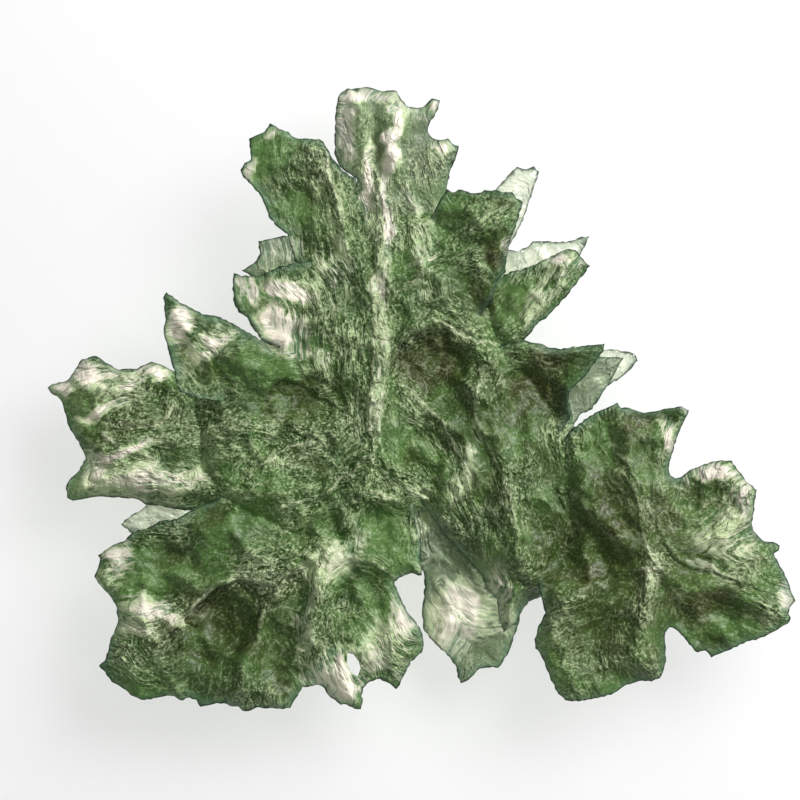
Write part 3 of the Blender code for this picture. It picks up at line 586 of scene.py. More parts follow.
def fibres(flow, grains, reaches):
    """Grains of noise drawn out along the flow, each brought to a mean of 0 and a spread of 1.

    Each is the sum of its noise along the path that follows the flow both ways for so many steps.
    """
    first = headings(flow, PLACES)
    totals = [grain.copy() for grain in grains]
    for way in (1, -1):
        heading = first * way
        places = PLACES.copy()
        for step in range(max(reaches)):
            places = places + heading * LATTICE_STEP
            turned = headings(flow, places)
            heading = turned * np.where((turned * heading).sum(axis=-1) < 0, -1, 1)[..., None]
            for total, grain, reach in zip(totals, grains, reaches):
                if step < reach:
                    total += sample(grain, places)
    return [(total - total.mean()) / total.std() for total in totals]


def crest(fibre, width):
    """Thin crests where a fibre field crosses zero: 1 - |fibre| / width, and 0 beyond that."""
    return np.clip(1 - np.abs(fibre) / width, 0, 1)


def scallops(seed, spacing, places):
    """Touching bowls with sharp ridges between them: (distance to the nearest middle / spacing)^2.

    One middle is drawn in each square of the spacing, and the field is 1 at most.
    """
    random = np.random.default_rng(seed)
    size = ((MAP_HIGH - MAP_LOW) / spacing).astype(int) + 6
    middles = random.uniform(0.05, 0.95, (size[1], size[0], 2))
    square = ((places - MAP_LOW) / spacing + 2).astype(int).clip(1, size - 2)
    field = np.full(PLACES.shape[:2], np.inf)
    for right in (-1, 0, 1):
        for down in (-1, 0, 1):
            column = square[..., 0] + right
            row = square[..., 1] + down
            middle = (np.stack([column, row], axis=-1) - 2 + middles[row, column]) * spacing + MAP_LOW
            field = np.minimum(field, ((places - middle) ** 2).sum(axis=-1) / spacing**2)
    return np.minimum(field, 1)


def surface_fields(shape):
    """Every field of the map that the stone's faces and its colours are worked out from.

    How wrinkled the glass is: 0.22, plus 0.6 near the ridges and veins, plus 0.9 of the patches'
    noise, less 0.7 in the olive zones. The detail is the relief in metres that lies on both faces.
    A noise takes its seed first and then its cell in map units.
    """
    flow = flow_field()
    wander = np.stack([layered_noise(11, 34), layered_noise(17, 34)], axis=-1)
    crossed = wander[..., ::-1]
    wandered = PLACES + shape.zone_wander * wander
    shiver = shape.zone_wander * np.stack([layered_noise(61, 15), layered_noise(67, 15)], axis=-1)
    ragged = wandered + 1.3 * shiver
    olive = oval_field(OLIVE_ZONES, ragged, ZONE_STEEPNESS)

    # thin crests along the flow, from three sizes of grain drawn out over three lengths
    grains = [soft_noise(23, 3.5), soft_noise(29, 6.0), soft_noise(31, 11.0)]
    fine, middle, coarse = fibres(flow, grains, (3, 6, 10))
    crests = 0.5 * crest(coarse, 0.45) + 0.35 * crest(middle, 0.5) + 0.2 * crest(fine, 0.6)
    patches = layered_noise(41, 44)
    strands = strand_field(shape.strand_wander * wander)
    near = np.exp(-strands / shape.wrinkle_reach)
    wrinkled = np.clip(0.22 + 0.6 * near + 0.9 * patches - 0.7 * olive, 0.04, 1.0)

    # broad bowls with smaller ones among them, and sharp folds
    broad = scallops(43, shape.scallop_width, wandered + 0.5 * shape.zone_wander * crossed)
    small = scallops(47, 0.42 * shape.scallop_width, wandered)
    bowls = 1 - (0.68 * broad + 0.32 * small)
    folds = crumple(53, shape.fold_width, wandered + 0.6 * shape.zone_wander * crossed)
    veins = ridge_field(VEINS, PLACES + 0.5 * shiver)
    ledges = ledge_field()
    detail = (
        shape.wrinkle_depth * crests * wrinkled
        - shape.scallop_depth * bowls
        + shape.fold_depth * folds
        + shape.vein_share * veins
        - shape.ledge_share * ledges
    )
    return {
        "strand": strands,
        "olive": olive,
        "pale": oval_field(PALE_ZONES, ragged, ZONE_STEEPNESS),
        "ridge": ridge_field(RIDGES, PLACES + 0.6 * shiver),
        "vein": veins,
        "ledge": ledges,
        "crest": crests * wrinkled,
        "fold": folds,
        "wrinkled": wrinkled,
        "hollow": oval_field(HOLLOWS, ragged, HOLLOW_STEEPNESS, MILLIMETRE),
        "under_hollow": oval_field(UNDER_HOLLOWS, ragged, HOLLOW_STEEPNESS, MILLIMETRE),
        "detail": detail,
    }


def plate_faces(plate, places, fields, shape):
    """The heights in metres of a plate's upper and lower face, and how far in from its rim, at places.

    Both leave the rim steeply and level out, as 1 - e^(-distance from the rim / shoulder). Ridges
    stand out of both, hollows are sunk into them, and the detail lies on top. Inside the trunk's
    outline the other plates sink, the further in the deeper, down to the sunk rim. Around the foot
    the lower face is plain, and it bulges down as e^-(distance / radius)^2.
    """
    away, _ = route_reach(places, plate.outline, closed=True)
    depth = away * UNIT * is_inside(places, plate.outline)
    upper_share = 1 - np.exp(-depth / shape.upper_shoulder)
    lower_share = 1 - np.exp(-depth / shape.lower_shoulder)
    lean = (places - np.mean(plate.outline, axis=0)) @ np.array((plate.slope[0], -plate.slope[1])) * UNIT
    rim = plate.rim * MILLIMETRE + lean
    thickness = (plate.rise * upper_share + plate.drop * lower_share) * MILLIMETRE
    ridges = shape.ridge_share * sample(fields["ridge"], places)
    hollowed = np.minimum(sample(fields["hollow"], places), MOST_CARVED_ABOVE * thickness)
    under_hollowed = np.minimum(sample(fields["under_hollow"], places), MOST_CARVED_BELOW * thickness)
    foot_reach = np.linalg.norm(places - FOOT_PLACE, axis=-1) * UNIT / FOOT_RADIUS
    foot = np.exp(-(foot_reach**2))
    detail = sample(fields["detail"], places)
    under_detail = sample(fields["detail"], places + UNDER_SHIFT)
    fine_share = 1 - np.exp(-depth / shape.rim_roll)
    if plate.name != "trunk":
        trunk = PLATES[0].outline
        buried, _ = route_reach(places, trunk, closed=True)
        sunk = buried * UNIT * is_inside(places, trunk) * shape.sinking
        rim = rim - np.minimum(sunk, max(plate.rim * MILLIMETRE - shape.sunk_rim, 0))
    relief = plate.rise * MILLIMETRE + ridges - shape.hollow_share * hollowed
    upper = rim + shape.rim_half + upper_share * relief
    upper += fine_share * np.maximum(detail, -MOST_WRINKLED * thickness - shape.rim_half)
    under_relief = (1 - foot) * (UNDER_RIDGES * ridges - under_hollowed)
    lower = rim - shape.rim_half - lower_share * (plate.drop * MILLIMETRE + under_relief)
    lower -= (1 - foot) * fine_share * np.maximum(under_detail, -MOST_WRINKLED * thickness)
    if plate.name == "trunk":
        lower = np.maximum(lower - FOOT_DEPTH * foot, 0)
    return upper, lower, depth


def is_inside(places, outline):
    """True where a place lies in the outline, by counting the sides that a ray to the right crosses."""
    points = np.array(outline, float)
    inside = np.zeros(places.shape[:-1], bool)
    for start, end in zip(points, np.roll(points, -1, axis=0)):
        spans = (start[1] > places[..., 1]) != (end[1] > places[..., 1])
        rise = end[1] - start[1] or 1.0
        crossing = start[0] + (places[..., 1] - start[1]) / rise * (end[0] - start[0])
        inside ^= spans & (places[..., 0] < crossing)
    return inside


def linked(mesh):
    """An object of a mesh, under the mesh's name, in the scene."""
    made = bpy.data.objects.new(mesh.name, mesh)
    bpy.context.scene.collection.objects.link(made)
    return made


def new_object(name, vertices, faces):
    """A mesh object from arrays of points and of faces with the same number of corners each."""
    mesh = bpy.data.meshes.new(name)
    mesh.vertices.add(len(vertices))
    mesh.vertices.foreach_set("co", np.ascontiguousarray(vertices, np.float32).ravel())
    corners = faces.shape[1]
    mesh.loops.add(faces.size)
    mesh.loops.foreach_set("vertex_index", np.ascontiguousarray(faces, np.int32).ravel())
    mesh.polygons.add(len(faces))
    mesh.polygons.foreach_set("loop_start", np.arange(0, faces.size, corners, dtype=np.int32))
    mesh.update(calc_edges=True)
    return linked(mesh)


def place_on_stone(places, heights):
    """Map places and heights as points in metres, about the middle of the stone's map."""
    across = (places[..., 0] - STONE_MAP_MIDDLE[0]) * UNIT
    up = (STONE_MAP_MIDDLE[1] - places[..., 1]) * UNIT
    return np.stack([across, up, heights], axis=-1).reshape(-1, 3)


def slab(plate, fields, shape):
    """A plate as a closed slab over its box: an upper and a lower grid, with a wall all round."""
    places = PLACES[window_round(plate.outline, SLAB_MARGIN)]
    upper, lower, _ = plate_faces(plate, places, fields, shape)
    vertices = np.concatenate([place_on_stone(places, upper), place_on_stone(places, lower)])
    rows, columns = upper.shape
    number = np.arange(rows * columns).reshape(rows, columns)
    quads = np.stack(
        [number[:-1, :-1], number[1:, :-1], number[1:, 1:], number[:-1, 1:]], axis=-1
    ).reshape(-1, 4)
    edge = np.concatenate([number[0, :-1], number[:-1, -1], number[-1, :0:-1], number[:0:-1, 0]])
    following = np.roll(edge, -1)
    under = rows * columns
    wall = np.stack([edge, following, following + under, edge + under], axis=-1)
    return new_object(plate.name, vertices, np.concatenate([quads, quads[:, ::-1] + under, wall]))


def rough_outline(outline, shape, seed):
    """An outline with a point at each chip's spacing, moved in or out at random by up to a chip's depth."""
    points = np.array(outline, float)
    ends = np.roll(points, -1, axis=0)
    pieces = []
    for start, end in zip(points, ends):
        count = max(int(np.linalg.norm(end - start) / shape.chip_spacing), 1)
        share = np.arange(count)[:, None] / count
        pieces.append(start + share * (end - start))
    fine = np.concatenate(pieces)
    along = np.roll(fine, -1, axis=0) - np.roll(fine, 1, axis=0)
    outwards = np.stack([along[:, 1], -along[:, 0]], axis=1)
    outwards /= np.linalg.norm(outwards, axis=1, keepdims=True)
    random = np.random.default_rng(seed)
    return fine + outwards * random.uniform(-1, 1, (len(fine), 1)) * shape.chip_depth


def prism(name, outline):
    """An outline on the map drawn out into an upright prism that reaches through the whole stone."""
    places = np.array(outline, float)
    turning = places[:, 0] * np.roll(places[:, 1], -1) - places[:, 1] * np.roll(places[:, 0], -1)
    if turning.sum() > 0:
        places = places[::-1]
    count = len(places)
    reach = np.ones(count) * PRISM_REACH
    vertices = np.concatenate([place_on_stone(places, -reach), place_on_stone(places, reach)])
    number = np.arange(count)
    following = np.roll(number, -1)
    sides = np.stack([number, following, following + count, number + count], axis=-1)
    faces = [number[::-1].tolist(), (number + count).tolist()] + sides.tolist()
    mesh = bpy.data.meshes.new(name)
    mesh.from_pydata(vertices.tolist(), [], faces)
    mesh.update()
    return linked(mesh)


def bake_modifiers(target):
    """Target's mesh becomes what its modifiers make of it."""
    bpy.context.view_layer.update()
    evaluated = target.evaluated_get(bpy.context.evaluated_depsgraph_get())
    result = bpy.data.meshes.new_from_object(evaluated)
    target.modifiers.clear()
    target.data = result


def combine(target, operation, other):
    """Target becomes itself and the other object, intersected, joined or cut, and the other goes."""
    boolean = target.modifiers.new(operation.lower(), "BOOLEAN")
    boolean.operation = operation
    boolean.solver = "MANIFOLD"
    boolean.object = other
    bake_modifiers(target)
    bpy.data.objects.remove(other)


def points_of(mesh):
    """A mesh's points as rows of an array."""
    points = np.empty(len(mesh.vertices) * 3, np.float32)
    mesh.vertices.foreach_get("co", points)
    return points.reshape(-1, 3).astype(float)


def joined_plates(fields, shape):
    """All plates, clipped to their outlines and joined, with the leaf's hole cut through."""
    stone = None
    for seed, plate in enumerate(PLATES):
        piece = slab(plate, fields, shape)
        combine(piece, "INTERSECT", prism("clip", rough_outline(plate.outline, shape, seed)))
        if stone is None:
            stone = piece
        else:
            combine(stone, "UNION", piece)
    combine(stone, "DIFFERENCE", prism("hole", LEAF_HOLE))
    return stone


def mend(mesh):
    """Takes out the faces around any edge that doesn't have two faces, and fills the holes they leave."""
    for _ in range(MENDING_ROUNDS):
        faulty = {corner for edge in mesh.edges if len(edge.link_faces) != 2 for corner in edge.verts}
        if not faulty:
            return
        faces = {face for corner in faulty for face in corner.link_faces}
        bmesh.ops.delete(mesh, geom=list(faces), context="FACES")
        loose = [corner for corner in mesh.verts if not corner.link_faces]
        bmesh.ops.delete(mesh, geom=loose, context="VERTS")
        open_edges = [edge for edge in mesh.edges if edge.is_boundary]
        filled = bmesh.ops.holes_fill(mesh, edges=open_edges, sides=0)
        bmesh.ops.triangulate(mesh, faces=filled["faces"])
    raise RuntimeError("the stone's mesh could not be closed")


def finish_mesh(stone, shape):
    """Thins the joined faces out to the number that is kept, and closes what that leaves open."""
    triangles = sum(len(face.vertices) - 2 for face in stone.data.polygons)
    thin_out = stone.modifiers.new("thin_out", "DECIMATE")
    thin_out.ratio = min(shape.triangles / triangles, 1.0)
    thin_out.use_collapse_triangulate = True
    bake_modifiers(stone)
    mesh = bmesh.new()
    mesh.from_mesh(stone.data)
    mend(mesh)
    mesh.to_mesh(stone.data)
    mesh.free()


def settle(stone):
    """Moves the stone to the middle of the CAD solid's box and brings its height to the box's."""
    points = points_of(stone.data)
    low = points.min(axis=0)
    high = points.max(axis=0)
    shift = (STONE_BOX[0] + STONE_BOX[1] - low - high) / 2
    placed = points + shift
    share = (points[:, 2] - low[2]) / (high[2] - low[2])
    placed[:, 2] = STONE_BOX[0][2] + share * (STONE_BOX[1][2] - STONE_BOX[0][2])
    stone.data.vertices.foreach_set("co", placed.astype(np.float32).ravel())
    stone.data.shade_smooth()
    stone.data.update()


def mark_surface(stone, fields, shape):
    """Stores what the stone's colour depends on, for each point, before the stone is settled.

    A point belongs to the plate whose face it lies nearest to. Its place on the map, shifted below,
    gives its zones, its wrinkles and its distance in millimetres from the ridges. rim falls with
    the distance in from the plate's rim, as e^-(distance / reach).
    """
    mesh = stone.data
    points = points_of(mesh)
    normals = np.empty(len(points) * 3, np.float32)
    mesh.vertices.foreach_get("normal", normals)
    above = normals[2::3] >= 0
    places = STONE_MAP_MIDDLE + points[:, :2] / UNIT * (1, -1)
    nearest = np.full(len(points), np.inf)
    clear = np.zeros(len(points))
    rim = np.ones(len(points))
    for plate in PLATES:
        outline = np.array(plate.outline, float)
        near = (places > outline.min(axis=0) - POINT_MARGIN) & (places < outline.max(axis=0) + POINT_MARGIN)
        chosen = np.flatnonzero(near.all(axis=1))
        upper, lower, depth = plate_faces(plate, places[chosen], fields, shape)
        gap = np.abs(points[chosen, 2] - np.where(above[chosen], upper, lower))
        gap[depth == 0] += shape.rim_half
        closer = gap < nearest[chosen]
        chosen = chosen[closer]
        nearest[chosen] = gap[closer]
        clear[chosen] = plate.clear
        rim[chosen] = np.exp(-depth[closer] / shape.rim_reach)
    shifted = places + np.where(above[:, None], 0, UNDER_SHIFT)
    for name in ("olive", "pale", "crest", "fold", "wrinkled"):
        store(mesh, name, sample(fields[name], shifted))
    for name in ("vein", "ledge"):
        store(mesh, name, sample(fields[name], shifted) / MILLIMETRE)
    store(mesh, "strand", sample(fields["strand"], shifted) * UNIT / MILLIMETRE)
    store(mesh, "clear", clear)
    store(mesh, "rim", rim)


def store(mesh, name, values):
    """Keeps one number for each point of a mesh under a name of STORED, which its material reads."""
    attribute = mesh.attributes.new(name, "FLOAT", "POINT")
    attribute.data.foreach_set("value", np.ascontiguousarray(values, np.float32))


# What is stored for each point of the stone, and how the finer layers of the drawn-out noises are.
STORED = ("olive", "pale", "crest", "fold", "wrinkled", "vein", "ledge", "strand", "clear", "rim")
CRINKLE_LAYERS = {"Detail": 2.0, "Roughness": 0.7, "Lacunarity": 2.1, "Offset": 1.0, "Gain": 2.0}
LINE_LAYERS = {"Detail": 2.0, "Roughness": 0.6}
FAULT_LAYERS = {"Detail": 1.5}


class Socket:
    """An output socket of a material's nodes, on which sums are written as plain expressions."""

    def __init__(self, tree, output=None):
        self.tree = tree
        self.output = output

    def node(self, kind, settings, inputs, output=0):
        """Adds a node, with its settings first and then the values or links of its sockets."""
        made = self.tree.nodes.new(kind)
        for name, value in settings.items():
            setattr(made, name, value)
        for key, value in inputs.items():
            if isinstance(value, Socket):
                self.tree.links.new(value.output, made.inputs[key])
            else:
                made.inputs[key].default_value = value
        return Socket(self.tree, made.outputs[output])

    def maths(self, operation, *values):
        return self.node("ShaderNodeMath", {"operation": operation}, dict(enumerate(values)))

    def __add__(self, other):
        return self.maths("ADD", self, other)

    def __radd__(self, other):
        return self.maths("ADD", other, self)

    def __sub__(self, other):
        return self.maths("SUBTRACT", self, other)

    def __rsub__(self, other):
        return self.maths("SUBTRACT", other, self)

    def __mul__(self, other):
        return self.maths("MULTIPLY", self, other)

    def __rmul__(self, other):
        return self.maths("MULTIPLY", other, self)

    def size(self):
        """The value without its sign."""
        return self.maths("ABSOLUTE", self)

    def between(self, low, high):
        """0 at low, 1 at high, eased between them and held beyond."""
        return self.node(
            "ShaderNodeMapRange",
            {"interpolation_type": "SMOOTHSTEP"},
            {"Value": self, "From Min": low, "From Max": high},
        )

    def tint(self, share, colour):
        """This colour with a share of another one."""
        return self.node("ShaderNodeMix", {"data_type": "RGBA"}, {0: share, 6: self, 7: colour}, 2)

    def stored(self, name):
        """What store() kept for the surface under a name."""
        return self.node("ShaderNodeAttribute", {"attribute_name": name}, {}, "Fac")

    def noise(self, place, scale, detail=0.0):
        """Noise at a place, so many grains to a millimetre."""
        return self.node("ShaderNodeTexNoise", {}, {"Vector": place, "Scale": scale, "Detail": detail})

    def drawn_out(self, place, across, scale, finer, kind="FBM"):
        """Noise drawn out along the lines on which another value, across, stays the same."""
        return self.node(
            "ShaderNodeTexNoise",
            {"noise_dimensions": "4D", "noise_type": kind},
            {"Vector": place, "W": across, "Scale": scale, **finer},
        )


def screen(red, green, blue):
    """A colour in a screen's 0 to 255 as the linear values that a shader takes."""
    shares = np.array((red, green, blue)) / 255
    linear = np.where(shares <= 0.04045, shares / 12.92, ((shares + 0.055) / 1.055) ** 2.4)
    return tuple(linear.tolist())


def opaque(colour):
    """A colour property with the fourth value that a socket wants."""
    return tuple(colour) + (1.0,)


def seen_on_glass(start, look):
    """What the glass's colour and relief are worked out from: what is stored for it, and noises.

    The noises read the place in millimetres. crinkle, lines and fault are drawn out along the ridges.
    bright and dark are crinkle's crests and gaps, painted highlight and painted shade, and
    line_light and line_dark are thin lines, painted highlight and painted shadow, on which
    lines has one value. lined, clustered and broken say how strongly each sort shows. cut and lip
    are the two sides of a small ledge, painted shadow and painted highlight. worn is
    where pale glass shows, with painted highlight on the crinkles' crests and the folds and painted
    shade in their gaps, and creased its folds, which take painted shade.
    """
    seen = SimpleNamespace(**{name: start.stored(name) for name in STORED})
    position = start.node("ShaderNodeTexCoord", {}, {}, "Object")
    place = start.node(
        "ShaderNodeVectorMath", {"operation": "SCALE"}, {"Vector": position, "Scale": 1 / MILLIMETRE}
    )
    seen.crinkle = start.drawn_out(
        place, seen.strand * look.crinkle_stretch, look.crinkle_grain, CRINKLE_LAYERS, "RIDGED_MULTIFRACTAL"
    )
    seen.lines = start.drawn_out(place, seen.strand * look.line_stretch, look.line_grain, LINE_LAYERS)
    seen.fault = start.drawn_out(
        place, seen.strand * look.fault_stretch, look.fault_grain, FAULT_LAYERS
    ) - 0.5
    seen.cloud = start.noise(place, look.cloud_grain, 2.0)
    seen.patch = start.noise(place, look.patch_grain, 2.0)
    seen.grain = start.noise(place, look.bump_grain, 1.0)
    seen.speck = start.noise(place, look.speck_grain, 1.0)
    # The crinkles' crests take painted highlight and their gaps take painted shade
    seen.bright = seen.crinkle.between(look.crest_low, look.crest_high)
    seen.dark = 1 - seen.crinkle.between(look.gap_low, look.gap_high)
    # A thin painted highlight along the streaks, with a painted shadow beside it
    seen.line_light = 1 - (seen.lines - 0.52).size().between(0.0, look.line_width)
    seen.line_dark = 1 - (seen.lines - 0.46).size().between(0.0, look.line_width)
    in_patches = 0.35 + 0.65 * seen.patch.between(0.4, 0.58)
    seen.lined = (0.2 + 0.8 * seen.wrinkled) * in_patches * (1 - 0.55 * seen.olive)
    seen.clustered = seen.patch.between(0.48, 0.62)
    seen.broken = (0.25 + 0.75 * seen.wrinkled) * seen.patch.between(0.38, 0.55)
    # cut and lip: painted shadow and painted highlight on the two sides of a small ledge
    seen.cut = 1 - (seen.fault + 0.02).size().between(0.0, 0.02)
    seen.lip = 1 - (seen.fault - 0.012).size().between(0.0, 0.022)
    # Pale glass, lighter on the crests and folds as painted highlight and darker in the gaps as painted
    # shade
    seen.worn = seen.pale + 0.2 * seen.bright - 0.15 * seen.dark
    seen.worn += (seen.lines - 0.5) * 1.5
    seen.worn += (seen.patch - 0.5) * 1.2
    seen.worn += seen.fold * 0.16
    # creased: the folds of the pale glass, which take painted shade
    seen.creased = (1 - seen.fold.between(-0.7, 0.5)) * 0.75
    seen.creased += (1 - seen.fold.size().between(0.0, 0.25)) * 0.2
    return seen


def glass_layers(seen, look):
    """The layers of colour over the green, from the bottom up: how much of each shows, and its name."""
    bright, dark, wrinkled, patch = seen.bright, seen.dark, seen.wrinkled, seen.patch
    olive, pale, clear, rim, fold = seen.olive, seen.pale, seen.clear, seen.rim, seen.fold
    near_rim = rim.maths("POWER", rim, 0.16).between(0.25, 0.95)
    return [
        # clouds of deeper green, and the olive pockets with their brown
        (seen.cloud.between(0.42, 0.58), "deep_green"),
        (olive * (0.5 + seen.cloud.between(0.35, 0.6) * 0.5), "olive"),
        (olive * patch.between(0.46, 0.62) * 0.85, "brown_and_ledge_shade"),
        (olive.between(0.5, 1.0) * 0.5, "brown_and_ledge_shade"),
        # shade in the folds, under the ledges and between the crinkles, and light on the folds
        ((1 - fold.between(-1.5, 0.4)) * 0.7, "shadow_green"),
        (seen.ledge.between(0.1, 0.5) * 0.7, "brown_and_ledge_shade"),
        (seen.ledge.between(0.3, 0.46) * 0.85, "ledge_shadow"),
        ((0.12 + 0.88 * wrinkled) * dark * 0.3, "shadow_green"),
        (fold.between(0.6, 1.7) * wrinkled * (0.2 + 0.8 * bright) * 0.4, "streak_highlight"),
        # painted shadow and highlight along the streaks, and painted highlight on the crests
        (seen.line_dark * seen.lined * look.line_share * 0.6, "shadow_green"),
        (seen.line_light * seen.lined * look.line_share, "streak_highlight"),
        (seen.crest.between(0.1, 0.45) * (0.2 + 0.8 * bright) * 0.5, "streak_highlight"),
        (wrinkled * bright * (0.15 + 0.85 * seen.clustered) * 0.5, "streak_highlight"),
        # specks, painted shadow and highlight on the two sides of small ledges, and veins
        (seen.speck.between(0.54, 0.66) * (0.15 + 0.5 * wrinkled), "streak_highlight"),
        ((1 - seen.speck.between(0.34, 0.46)) * (0.12 + 0.45 * wrinkled), "shadow_green"),
        (seen.cut * seen.broken * 0.4, "shadow_green"),
        (seen.lip * seen.broken * 0.55, "streak_highlight"),
        (seen.vein.between(0.04, 0.2) * (0.15 + 0.5 * bright + 0.5 * seen.clustered), "vein"),
        # thin pale glass, with painted highlight, and painted shade in its creases and beside its lines
        (seen.worn.between(0.2, 0.7) * pale.between(0.05, 0.3) * 0.75, "streak_highlight"),
        (seen.worn.between(0.45, 0.8) * pale.between(0.4, 0.65) * 0.94, "pale"),
        (pale.between(0.1, 0.6) * seen.creased * (0.5 + 0.5 * dark), "teal_shade"),
        (pale.between(0.15, 0.6) * seen.line_dark * 0.55, "teal_shade"),
        (pale.between(0.1, 0.4) * seen.line_light * 0.5, "pale"),
        # clear fins with painted shade in their creases, and painted dark edges along the rims
        (clear * 0.92, "clear"),
        (clear * (dark * 0.2 + seen.creased * 0.25), "teal_shade"),
        (near_rim * (0.25 + 0.35 * patch.between(0.42, 0.6)), "teal_shade"),
        (rim.between(0.25, 0.8) * 0.85, "rim"),
    ]


def glass_relief(seen, look):
    """The finest relief: grains, small ledges, and streaks that fade out in smooth and in thin glass."""
    streaks = seen.crinkle * 0.5 + seen.lines.between(0.44, 0.56) * look.line_relief
    smoothed = (1 - seen.pale * 0.4) * (1 - seen.clear * 0.6)
    chips = seen.fault.between(-0.03, 0.02) * (0.15 + 0.55 * seen.wrinkled)
    grains = seen.grain * (0.06 + 0.3 * seen.wrinkled)
    return grains + chips + streaks * (0.06 + 0.94 * seen.wrinkled) * smoothed


def glass_material(look):
    """Natural green glass: pale and streaked along its flow, smooth and olive in its pockets."""
    material = bpy.data.materials.new(STONE_SLOT)
    material.use_nodes = True
    tree = material.node_tree
    tree.nodes.clear()
    start = Socket(tree)
    seen = seen_on_glass(start, look)
    colour = start.node("ShaderNodeRGB", {}, {})
    colour.output.default_value = opaque(look.green)
    for share, name in glass_layers(seen, look):
        colour = colour.tint(share, opaque(getattr(look, name)))
    bump = start.node("ShaderNodeBump", {}, {
        "Strength": 1.0,
        "Distance": look.bump_depth,
        "Height": glass_relief(seen, look),
    })
    finish = {"Base Color": colour, "Normal": bump, "IOR": look.ior, "Specular IOR Level": look.gloss}
    body = start.node("ShaderNodeBsdfPrincipled", {}, {
        **finish,
        "Roughness": look.roughness + look.wrinkled_roughness * seen.wrinkled,
        "Transmission Weight": look.transmission,
    })
    thin = start.node("ShaderNodeBsdfPrincipled", {}, {
        **finish,
        "Roughness": look.fin_roughness,
        "Transmission Weight": look.clearness,
    })
    surface = start.node("ShaderNodeMixShader", {}, {0: seen.clear.between(0.1, 0.8), 1: body, 2: thin})
    absorption = start.node("ShaderNodeVolumeAbsorption", {}, {
        "Color": opaque(look.absorbed),
        "Density": look.absorption,
    })
    output = tree.nodes.new("ShaderNodeOutputMaterial")
    tree.links.new(surface.output, output.inputs["Surface"])
    tree.links.new(absorption.output, output.inputs["Volume"])
    return material


def floor_material(colour):
    """Matt white card."""
    material = bpy.data.materials.new("pale_card")
    material.use_nodes = True
    principled = material.node_tree.nodes["Principled BSDF"]
    principled.inputs["Base Color"].default_value = opaque(colour)
    principled.inputs["Roughness"].default_value = 0.9
    principled.inputs["Specular IOR Level"].default_value = 0.1
    return material


def length(name, description, default):
    """A size property in metres."""
    return bpy.props.FloatProperty(
        name=name, description=description, default=default, unit="LENGTH", precision=6
    )


def colour_property(name, description, red, green, blue):
    """A colour property, whose default is given as a screen shows it."""
    return bpy.props.FloatVectorProperty(
        name=name, description=description, default=screen(red, green, blue), subtype="COLOR", min=0, max=1
    )


def amount(name, description, default):
    """A plain number property."""
    return bpy.props.FloatProperty(name=name, description=description, default=default, precision=3)


def power(name, description, default):
    """A lamp's power in watts."""
    return bpy.props.FloatProperty(name=name, description=description, default=default, unit="POWER")


class MoldaviteShape(bpy.types.PropertyGroup):
    """Sizes of the stone's relief."""

    wrinkle_depth: length("Wrinkles", "Height of the thin crests that follow the flow", 0.28 * MILLIMETRE)
    scallop_depth: length("Scallops", "Depth of the bowls between the sharp ridges", 0.36 * MILLIMETRE)
    scallop_width: amount("Scallop width", "Distance between the bowls, in map units", 27.0)
    vein_share: amount("Veins", "How much of the veins' listed height is shown", 0.6)
    ledge_share: amount("Ledges", "How much of the ledges' listed drop is shown", 1.3)
    ridge_share: amount("Ridges", "How much of the ridges' listed height is shown", 0.6)
    hollow_share: amount("Hollows", "How much of the hollows' listed depth is shown", 0.75)
    sunk_rim: length("Sunk rim", "Height below which no plate's rim sinks", 4.2 * MILLIMETRE)
    sinking: amount("Sinking", "How steeply the plates sink into the trunk", 0.45)
    fold_depth: length("Folds", "Height of the sharp folds of the faces", 0.16 * MILLIMETRE)
    fold_width: amount("Fold width", "Distance between the folds, in map units", 34.0)
    upper_shoulder: length("Upper shoulder", "How soon the upper face levels out", 0.6 * MILLIMETRE)
    lower_shoulder: length("Lower shoulder", "How soon the lower face levels out", 1.7 * MILLIMETRE)
    rim_half: length("Rim", "Half the thickness of the glass at its rim", 0.11 * MILLIMETRE)
    rim_roll: length("Rim roll", "How far in from the rim the wrinkles start", 0.2 * MILLIMETRE)
    rim_reach: length("Rim line", "How far in the dark line along the rim reaches", 0.07 * MILLIMETRE)
    wrinkle_reach: amount("Wrinkle reach", "How far from the ridges the wrinkles lie, in map units", 15.0)
    strand_wander: amount("Strand wander", "How far the crinkles stray from the ridges, in map units", 9.0)
    zone_wander: amount("Wander", "How far the zones of colour stray, in map units", 7.0)
    chip_spacing: amount("Chip spacing", "Distance between the chips of the rim, in map units", 3.0)
    chip_depth: amount("Chip depth", "Depth of the chips of the rim, in map units", 0.7)
    triangles: bpy.props.IntProperty(
        name="Triangles", description="Faces that the stone is thinned out to", default=195000
    )


